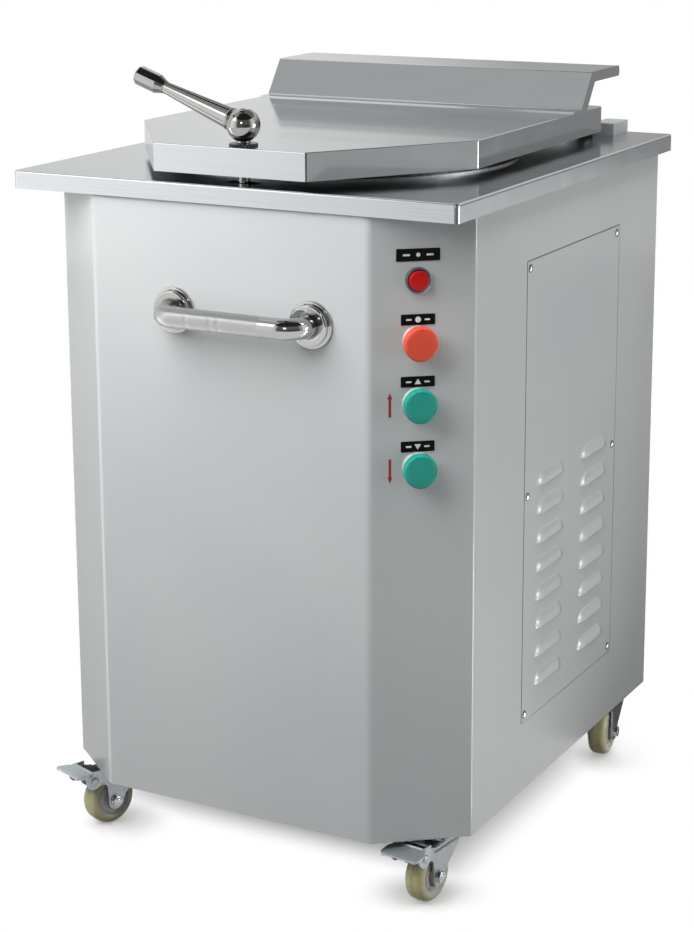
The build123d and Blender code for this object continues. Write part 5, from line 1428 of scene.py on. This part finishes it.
@dataclass
class AccessCover:
    """Access cover on the right side: a plate with two columns of pressed louvres, and its screws."""

    face: float = 284.0
    front: float = -82.65
    length: float = 294.0
    foot: float = 182.0
    height: float = 586.0
    columns: tuple = (80.0, 220.0)
    rows: int = 8
    first_row: float = 38.0
    row_pitch: float = 37.3
    louvre_length: float = 83.0
    louvre_height: float = 16.0
    louvre_proud: float = 5.0
    louvre_power: float = 0.75
    end_round: float = 19.0
    slit: float = 0.15
    sheet: float = 1.5
    edge: float = 0.9
    edge_fall: float = 0.25
    gap: float = 1.15
    tight: float = 1.1
    inset: float = 1.0
    # A black strip in the gap round the plate, as painted shade
    gap_shade_sunk: float = 0.05
    gap_shade_depth: float = 1.4
    screw_inset: float = 9.0
    screw_radius: float = 4.3
    screw_height: float = 2.4
    shank_radius: float = 1.9
    shank_length: float = 6.0
    # Dark rings under the screws, painted shade round their heads
    washer_radius: float = 5.3
    washer_bore: float = 3.0
    washer_height: float = 0.5

    def build(self) -> None:
        """Make the plate, the screws, and the painted shade in its gap and under the screws."""
        piece("access_cover_pressed", self.plate(), PAINT, "cabinet", "cabinet_paint", ("access_cover",),
              wall=self.sheet, crease=26)
        # The black strip in the cover's gap is painted shade
        piece("access_cover_gap_shade_strip", self.gap_shade_strip(), BLACK_RUBBER_AND_SHADE, "cabinet", "black_plastic")
        inset = self.screw_inset
        places = [Place((self.face, y, z), (0.0, 1.0, 0.0), (1.0, 0.0, 0.0))
                  for y in (self.front + inset, self.front + self.length - inset)
                  for z in np.linspace(self.foot + inset, self.foot + self.height - inset, 3)]
        screw = lathe(self.screw_profile(), ROUND_TINY)
        piece("access_cover_domed_screws", whole(*(screw.at(place) for place in places)), BRIGHT_ZINC,
              "cabinet", "zinc_plate", ("access_cover_screws",))
        # The dark rings under the screws are painted shade round their heads
        bore, rim, top = self.washer_bore, self.washer_radius, self.washer_height
        ring = rounded([(bore, 0, 0), (rim, 0, 0), (rim, top, 0.3), (bore, top, 0)], closed=True, steps=4)
        washer = lathe(ring, ROUND_TINY, closed=True)
        piece("access_cover_screw_shade_rings", whole(*(washer.at(place) for place in places)), DARK_STEEL_AND_SHADE,
              "cabinet", "zinc_plate")

    def outline(self) -> tuple[np.ndarray, np.ndarray]:
        """The plate's lowest and highest Y and Z: set back at the front, close to its opening elsewhere.

        Returns:
            The lowest and the highest (Y, Z).
        """
        low = np.array([self.front + self.inset, self.foot - self.tight])
        high = np.array([self.front + self.length + self.tight, self.foot + self.height])
        return low, high

    def gap_shade_strip(self) -> Surface:
        """Painted shade of the gap: a black frame between the opening and the plate, almost flush.

        Returns:
            The seal, at its place.
        """
        low = np.array([self.front, self.foot]) - self.gap
        high = np.array([self.front + self.length, self.foot + self.height]) + self.gap
        outer, inner = (
            np.array([(a[0], a[1]), (b[0], a[1]), (b[0], b[1]), (a[0], b[1])])
            for a, b in ((low, high), self.outline()))
        sunk, deep = -self.gap_shade_sunk, -self.gap_shade_depth
        rings = [np.column_stack([np.full(4, self.face + depth), loop])
                 for loop, depth in ((outer, deep), (outer, sunk), (inner, sunk), (inner, deep))]
        return grid(np.stack(rings), wrap_u=True, wrap_v=True)

    def screw_profile(self) -> np.ndarray:
        """Shank, rim, domed head and a round recess in its middle.

        Returns:
            Points of (radius, height) over the plate.
        """
        shank, rim, top = self.shank_radius, self.screw_radius, self.screw_height
        return rounded([(0, -self.shank_length, 0), (shank, -self.shank_length, 0), (shank, 0, 0),
                        (rim, 0, 0.2), (rim, 0.5 * top, 1.0), (0.5 * rim, top, 0.6), (1.1, top, 0.2),
                        (0.9, 0.4 * top, 0), (0, 0.4 * top, 0)], steps=5)

    def plate(self) -> Surface:
        """Plate on a grid of Y and Z whose height out of the cabinet follows the louvres.

        Over one louvre, t runs from 0 at its open lip to 1 at its top, and s from 0 where its rounded end
        begins to 1 at its tip. It stands proud by P (1 - t t - s s)^power, so its ends are like a quarter
        of an egg. The plate's own edge is rounded by falling (1 - distance / edge)^2. The faces in the
        slit under each lip are left out. The grid is finest round each louvre, with two lines just
        outside it that keep the flat plate's shading flat.

        Returns:
            The plate's outer face, without its thickness.
        """
        centres = self.front + np.array(self.columns)
        lips = self.foot + self.first_row + self.row_pitch * np.arange(self.rows)
        half, tall = self.louvre_length / 2, self.louvre_height
        ends = np.concatenate([np.linspace(half - self.end_round, half - 3, 20),
                               np.linspace(half - 2.6, half + 0.2, 8), [half + 0.6, half + 1.4]])
        reach = np.concatenate([-ends[::-1], np.linspace(-half + 22, half - 22, 5), ends])
        rise = np.concatenate([[-1.6, -0.5, -self.slit, 0.0], np.linspace(0.6, tall - 2, 14),
                               np.linspace(tall - 1.5, tall + 0.2, 8), [tall + 0.6, tall + 1.4]])
        border = np.array([0, 0.2, 0.45, 0.9, 4.0])
        low, high = self.outline()
        y = np.concatenate([low[0] + border, high[0] - border, *(centre + reach for centre in centres)])
        z = np.concatenate([low[1] + border, high[1] - border, *(lip + rise for lip in lips)])
        y, z = np.unique(y.round(4)), np.unique(z.round(4))
        yy, zz = np.meshgrid(y, z, indexing="ij")
        proud = np.zeros_like(yy)
        for centre in centres:
            for lip in lips:
                t = (zz - lip) / tall
                inside = (t >= -1e-6) & (t <= 1)
                s = np.clip(1 + (np.abs(yy - centre) - half) / self.end_round, 0, None)
                proud += inside * self.louvre_proud * np.clip(1 - t * t - s * s, 0, 1)**self.louvre_power
        rim = np.minimum(np.minimum(yy - y[0], y[-1] - yy), np.minimum(zz - z[0], z[-1] - zz))
        proud -= self.edge_fall * np.clip(1 - rim / self.edge, 0, 1)**2
        surface = grid(np.stack([self.face + proud, yy, zz], axis=-1))
        in_slit = np.isin(z.round(2), (lips - self.slit).round(2))[:-1][None, :]
        drop = in_slit & (proud[:-1, 1:] + proud[1:, 1:] > 0.5)
        return Surface(surface.points, [face for face, out in zip(surface.faces, drop.ravel()) if not out])


@dataclass
class RearFittings:
    """Cable gland and the screws of the rear panel."""

    panel: float = 346.35
    gland_at: tuple = (180.0, 160.0)
    gland_across: float = 26.0
    gland_nut: float = 3.2
    gland_cap: float = 10.0
    gland_bore: float = 5.0
    gland_sunk: float = 14.0
    gland_proud: float = 8.0
    gland_ribs: int = 20
    rib_depth: float = 0.4
    screw_columns: tuple = (-262.0, 0.0, 262.0)
    screw_rows: tuple = (112.0, 480.0, 846.0)
    bare_spot: tuple = (0.0, 480.0)
    screw_radius: float = 4.0
    screw_height: float = 2.1

    def build(self) -> None:
        """Make the gland and the screws."""
        piece("cable_gland_ribbed", self.gland().at(self.spot(*self.gland_at)), BLACK, "cabinet",
              "black_plastic", ("cable_gland",), crease=30)
        rim, top = self.screw_radius, self.screw_height
        screw = lathe(rounded([(0, 0, 0), (rim, 0, 0.1), (rim, 0.9, 0.8), (0.5 * rim, top, 0.6),
                               (1.1, top, 0.2), (0.9, 1.0, 0), (0, 1.0, 0)], steps=5), ROUND_TINY)
        spots = [(x, z) for x in self.screw_columns for z in self.screw_rows if (x, z) != self.bare_spot]
        piece("rear_panel_screws", whole(*(screw.at(self.spot(x, z)) for x, z in spots)), BRIGHT_ZINC,
              "cabinet", "zinc_plate")

    def spot(self, x: float, z: float) -> Place:
        """Local axes on the rear panel, with Z out of it."""
        return Place((x, self.panel, z), (1.0, 0.0, 0.0), (0.0, 1.0, 0.0))

    def gland(self) -> Surface:
        """Hexagon and a cap whose rim is cut between its ribs by depth |sin(ribs a / 2)|.

        Returns:
            The gland in its local axes.
        """
        bore, cap, top = self.gland_bore, self.gland_cap, self.gland_proud
        profile = rounded([(bore, -self.gland_sunk, 0), (cap, -self.gland_sunk, 0.3), (cap, 4.5, 1.5),
                           (cap - 1.2, top, 1.2), (bore, top, 0.6), (bore, 2, 0)], closed=True, steps=6)
        radius, height = profile.T[:, :, None]
        cut = np.abs(np.sin(self.gland_ribs / 2 * angles(12 * self.gland_ribs)))
        ribbed = radius - self.rib_depth * (radius > cap - self.rib_depth) * cut
        return turned(ribbed, height, closed=True) + hex_head(self.gland_across, self.gland_nut)


def bare_material(name: str) -> tuple[bpy.types.Material, Tree]:
    """Make a material without a shader.

    Args:
        name: The material's name.

    Returns:
        The material and its node tree.
    """
    material = bpy.data.materials.new(name)
    material.use_nodes = True
    tree = material.node_tree
    tree.nodes.remove(tree.nodes["Principled BSDF"])
    return material, tree


def facing(right: np.ndarray, up: np.ndarray, back: np.ndarray) -> Euler:
    """Euler angles of a camera or lamp from its right, up and back directions."""
    return Matrix(np.stack([right, up, back], axis=1).tolist()).to_euler()


@dataclass(frozen=True)
class Softbox:
    """A square lamp: where it hangs, what it faces, its side in millimetres and its power in watts."""

    name: str
    place: tuple
    target: tuple
    side: float
    power: float

    def hang(self) -> None:
        """Hang the lamp; it lights the object but isn't seen in it."""
        light = bpy.data.lights.new(self.name, "AREA")
        light.size = self.side * MM
        light.energy = self.power
        made = linked(self.name, light)
        made.location = np.array(self.place) * MM
        made.visible_glossy = False
        made.visible_camera = False
        back = unit(np.subtract(self.place, self.target))
        right = unit(np.cross((0, 0, 1), back))
        made.rotation_euler = facing(right, np.cross(back, right), back)


@dataclass(frozen=True)
class Reflector:
    """A glowing sheet that only shows in reflections, between two azimuths in degrees from +X."""

    name: str
    azimuths: tuple
    glow: tuple

    def points(self) -> np.ndarray:
        """The sheet's grid of points in millimetres, with the azimuths along its first direction."""
        raise NotImplementedError

    def hang(self) -> None:
        """Make the sheet; its glow is given at even steps of the azimuth."""
        points = self.points()
        mesh = grid(points).mesh(self.name)
        along = np.interp(np.linspace(0, 1, len(points)), np.linspace(0, 1, len(self.glow)), self.glow)
        values = mesh.attributes.new("glow", "FLOAT", "POINT").data
        values.foreach_set("value", np.repeat(along, points.shape[1]))
        material, tree = bare_material(self.name)
        strength = add(tree, "Attribute", attribute_name="glow").outputs["Fac"]
        light = add(tree, "Emission", {"Color": WHITE, "Strength": strength}).outputs["Emission"]
        tree.links.new(light, tree.nodes["Material Output"].inputs["Surface"])
        mesh.materials.append(material)
        made = linked(self.name, mesh)
        for ray in ("visible_camera", "visible_diffuse", "visible_shadow", "visible_transmission"):
            setattr(made, ray, False)


@dataclass(frozen=True)
class Card(Reflector):
    """A hanging card, a patch of a sphere about the middle of the set, between two elevations."""

    elevations: tuple
    distance: float = 4500.0
    middle: float = 600.0

    def points(self) -> np.ndarray:
        """Points at distance (cos e cos a, cos e sin a, sin e) from the middle.

        Returns:
            The grid of points, in millimetres.
        """
        a = np.radians(np.linspace(*self.azimuths, 49))[:, None]
        e = np.radians(np.linspace(*self.elevations, 13))[None, :]
        points = np.stack([np.cos(e) * np.cos(a), np.cos(e) * np.sin(a), np.sin(e) + 0 * a], axis=-1)
        return self.distance * points + np.array([0.0, 0.0, self.middle])


@dataclass(frozen=True)
class Mat(Reflector):
    """A wedge that lies on the floor with its point at an apex in plan."""

    apex: tuple
    end: float = 4200.0
    start: float = 250.0
    lift: float = 3.0

    def points(self) -> np.ndarray:
        """Points at apex + r (cos a, sin a), just over the floor.

        Returns:
            The grid of points, in millimetres.
        """
        a = np.radians(np.linspace(*self.azimuths, 25))[:, None]
        r = np.array((self.start, self.end))[None, :]
        return np.stack([self.apex[0] + r * np.cos(a), self.apex[1] + r * np.sin(a), self.lift + 0 * a * r],
                        axis=-1)


LAMPS = (
    Softbox("key_softbox", (-380, -1065, 1600), (-50, -250, 450), 1300, 34),
    Softbox("side_softbox", (1150, 120, 600), (284, -30, 490), 700, 3.7),
    Softbox("right_top_softbox", (1000, 100, 2300), (284, 0, 600), 600, 11.5),
    Softbox("left_softbox", (-1150, 700, 650), (-284, 80, 450), 800, 9),
    Softbox("rear_softbox", (-150, 1500, 1000), (0, 346, 450), 1000, 15),
    Softbox("top_softbox", (-110, -300, 3000), (0, 0, 800), 760, 10),
    Softbox("fill_softbox", (750, -2250, 1340), (100, -250, 500), 900, 1.7),
)

# What the steel and the gloss of the paint reflect; the nearer cards hang in front of the others
REFLECTORS = (
    Card("dark_ceiling", (118, 378), (0.03,), (40, 90)),
    Card("lit_ceiling", (18, 118), (0.26,), (40, 90)),
    Card("dark_room", (-66, -18), (0.08,), (-7.5, 10)),
    Card("dim_room", (-104, -66), (0.17,), (-7.5, 10)),
    Card("dim_room_wall", (-104, -18), (0.17,), (10, 40)),
    Card("right_wall", (-18, -6), (0.46,), (-7.5, 40)),
    Card("right_window", (-6, 8), (1.1,), (-7.5, 40)),
    Card("right_window_top", (8, 26), (1.1,), (8, 40)),
    Card("right_window_low", (8, 26), (13.0, 10.5, 5.0), (-7.5, 8)),
    Card("rear_right_skirting", (26, 105), (0.6, 0.8, 0.5, 0.5), (-7.5, -4.5)),
    Card("rear_right_wall", (26, 105), (0.3,), (-4.5, 19)),
    Card("rear_right_window", (26, 100), (0.75,), (19, 40)),
    Card("rear_wall", (105, 141), (0.42, 0.42, 0.7, 0.83, 0.78, 0.75, 0.75), (-7.5, 30)),
    Card("grey_ceiling_card", (-174, -121), (0.56,), (46, 67), 4300),
    Card("high_ceiling_card", (-174, -138), (0.56,), (67, 84), 4300),
    Card("rear_left_card", (122, 186), (1.0,), (40, 66), 4300),
    Card("bright_window", (-150, -106), (1.65, 1.55, 1.25, 0.75), (-7.5, 36), 4200),
    Card("softbox_card", (-140, -119), (3.0,), (28, 46), 4150),
    Card("bright_spot", (-78, -69), (7.0,), (19, 28), 4000),
    Mat("right_floor_light", (12, 28), (12.0,), (284.0, -226.0), 1500),
    Mat("rear_right_floor_shade", (57, 76), (1.0, 0.1), (284.0, 65.0)),
    Mat("rear_floor_shade", (76, 125), (0.1,), (284.0, 65.0)),
    Mat("left_floor_light", (-180, -156), (2.6,), (-187.0, -304.0)),
    Mat("left_floor_shade", (140, 180), (0.55,), (-187.0, -304.0)),
)


# The casters, each with the top edge of its pedal's tread if it has one, as reach ahead of the swivel
# and height: the left tread stands up towards its tip, and the right one slopes down
CASTERS = {
    "front_left": ((60.0, 83.2), (64.0, 83.4), (71.0, 84.0), (87.0, 86.2)),
    "front_right": ((60.0, 84.0), (64.0, 83.2), (71.0, 82.0), (87.0, 80.6)),
    "rear_left": (),
    "rear_right": (),
}


@dataclass
class Studio:
    """Pale floor, white surroundings, soft lamps and the camera."""

    camera_at: tuple = (1330.9, -2472.35, 1256.4)
    yaw: float = 29.641
    pitch: float = 13.383
    roll: float = -0.563
    focal_pixels: float = 2219.3
    centre_pixel: tuple = (300.0, 370.0)
    picture: tuple = (694.0, 932.0)
    sensor: float = 36.0
    floor_half: float = 6000.0
    floor_near: float = 900.0
    floor_steps: int = 151
    floor_colour: str = "#E0E0E0"
    floor_lift: float = 0.3
    bounce_colour: str = "#383838"
    shade_centre: tuple = (-75.0, 230.0)
    shade_half: tuple = (262.0, 350.0)
    shade_fade: float = 80.0
    wheel_shade: float = 12.0
    sky: float = 0.13

    def build(self) -> None:
        """Make the world, the floor, the lamps, the reflectors and the camera."""
        bpy.context.scene.view_settings.view_transform = "Standard"
        self.surroundings()
        self.floor()
        for thing in LAMPS + REFLECTORS:
            thing.hang()
        self.camera()

    def seen(self, tree: Tree) -> Socket:
        """1 for rays from the camera, from reflections and through glass; 0 for the light that falls.

        Args:
            tree: The node tree.

        Returns:
            The socket that holds the 1 or the 0.
        """
        path = add(tree, "LightPath").outputs
        rays = add(tree, "Math", {0: path["Is Camera Ray"], 1: path["Is Glossy Ray"]}, operation="ADD")
        rays = add(tree, "Math", {0: rays.outputs["Value"], 1: path["Is Transmission Ray"]},
                   operation="ADD", use_clamp=True)
        return rays.outputs["Value"]

    def surroundings(self) -> None:
        """A white backdrop to the eye and to metal, and a soft grey sky of light."""
        world = bpy.data.worlds.new("white_studio")
        bpy.context.scene.world = world
        world.use_nodes = True
        tree = world.node_tree
        background = tree.nodes["Background"]
        put(background, {"Color": WHITE})
        strength = add(tree, "MapRange", {"Value": self.seen(tree), "To Min": self.sky, "To Max": 1.0})
        tree.links.new(strength.outputs["Result"], background.inputs["Strength"])

    def whiteness(self, x: np.ndarray, y: np.ndarray) -> np.ndarray:
        """How far the floor is the backdrop's white: 0 where the shadow is kept, and 1 away from it.

        The shadow is kept over the cabinet's plan, slid away from the camera by the height of its foot over
        the slope of the view, and round each wheel; it fades with the distance from there by a smooth step.

        Args:
            x: Places across the floor, in millimetres.
            y: Places along the floor.

        Returns:
            The whiteness at each place.
        """
        slid = np.maximum(np.abs(x - self.shade_centre[0]) - self.shade_half[0],
                          np.abs(y - self.shade_centre[1]) - self.shade_half[1])
        white = smooth_step(slid / self.shade_fade)
        for name in CASTERS:
            hub = np.array(joint_of(f"{name}_roll")["pos_m"]) / MM
            reach = np.hypot(x - hub[0], y - hub[1])
            white = np.minimum(white, smooth_step((reach - self.wheel_shade) / self.shade_fade))
        return white

    def floor(self) -> None:
        """A pale floor that keeps the object's shadow close to it and is white elsewhere."""
        near = np.linspace(-self.floor_near, self.floor_near, self.floor_steps)
        line = np.concatenate([[-self.floor_half], near, [self.floor_half]])
        x, y = np.meshgrid(line, line, indexing="ij")
        mesh = grid(np.stack([x, y, 0 * x], axis=-1)).mesh("floor")
        values = mesh.attributes.new("whiteness", "FLOAT", "POINT").data
        values.foreach_set("value", self.whiteness(x, y).ravel())
        material, tree = bare_material("pale_floor")
        fade = add(tree, "Attribute", attribute_name="whiteness").outputs["Fac"]
        matt = add(tree, "BsdfDiffuse", {"Color": linear(self.floor_colour)}).outputs["BSDF"]
        bounce = add(tree, "BsdfDiffuse", {"Color": linear(self.bounce_colour)}).outputs["BSDF"]
        lift = add(tree, "Emission", {"Color": WHITE, "Strength": self.floor_lift}).outputs["Emission"]
        white = add(tree, "Emission", {"Color": WHITE, "Strength": 1.0}).outputs["Emission"]
        shadow = add(tree, "AddShader", {0: matt, 1: lift}).outputs["Shader"]
        shown = add(tree, "MixShader", {0: fade, 1: shadow, 2: white}).outputs["Shader"]
        both = add(tree, "MixShader", {0: self.seen(tree), 1: bounce, 2: shown}).outputs["Shader"]
        tree.links.new(both, tree.nodes["Material Output"].inputs["Surface"])
        mesh.materials.append(material)
        linked("floor", mesh)

    def camera(self) -> None:
        """A camera that stands where the photograph's did, rolled and shifted as it was."""
        yaw, pitch, roll = (math.radians(angle) for angle in (self.yaw, self.pitch, self.roll))
        forward = np.array([-math.sin(yaw) * math.cos(pitch), math.cos(yaw) * math.cos(pitch),
                            -math.sin(pitch)])
        level = unit(np.cross(forward, (0, 0, 1)))
        upright = np.cross(level, forward)
        right = math.cos(roll) * level + math.sin(roll) * upright
        up = math.cos(roll) * upright - math.sin(roll) * level
        lens = bpy.data.cameras.new("camera")
        width, height = self.picture
        lens.sensor_width = self.sensor
        lens.lens = self.focal_pixels * self.sensor / height
        lens.shift_x = (width / 2 - self.centre_pixel[0]) / height
        lens.shift_y = (self.centre_pixel[1] - height / 2) / height
        made = linked("camera", lens)
        made.location = np.array(self.camera_at) * MM
        made.rotation_euler = facing(right, up, -forward)
        bpy.context.scene.camera = made


NODE_FINISHES = (
    (PAINT, ("front_panel", "left_side_panel", "right_side_panel", "rear_panel")),
    (TABLE_STEEL, ("table_top",)),
    (CHAMBER_STEEL, ("dough_chamber",)),
    (LID_STEEL, ("lid_shell", "lid_upstand")),
    (GROUND_STEEL, ("hinge_pins", "piston_rod", "knife_grid", "latch_keeper")),
    (BRIGHT_PLATE, ("latch_spindle",)),
    (ALUMINIUM, ("lid_press_plate", "press_pads", "press_carrier", "knife_carrier", "hinge_lugs")),
    (HINGE_CAST, ("hinge_blocks",)),
    (ZINC, ("caster_plates", "caster_bolts")),
    (PRIMER, ("main_frame", "base_plate", "cylinder_barrel", "oil_tank", "control_box")),
    (MOTOR_PAINT, ("drive_motor", "hydraulic_pump")),
    (BLACK_RUBBER_AND_SHADE, ("hydraulic_hoses",)),
    (BLACK, ("switch_blocks",)),
)


def main() -> None:
    """Build and dress the whole divider."""
    logging.basicConfig(level=logging.INFO, format="%(name)s %(message)s")
    Studio().build()
    for finish, nodes in NODE_FINISHES:
        dress(finish, nodes)
    for fitting in (ClampLever(), GrabHandle(), ControlPanel(), AccessCover(), RearFittings()):
        fitting.build()
    for name, tread_line in CASTERS.items():
        Caster(name, tread_line).build()


if __name__ == "__main__":
    main()
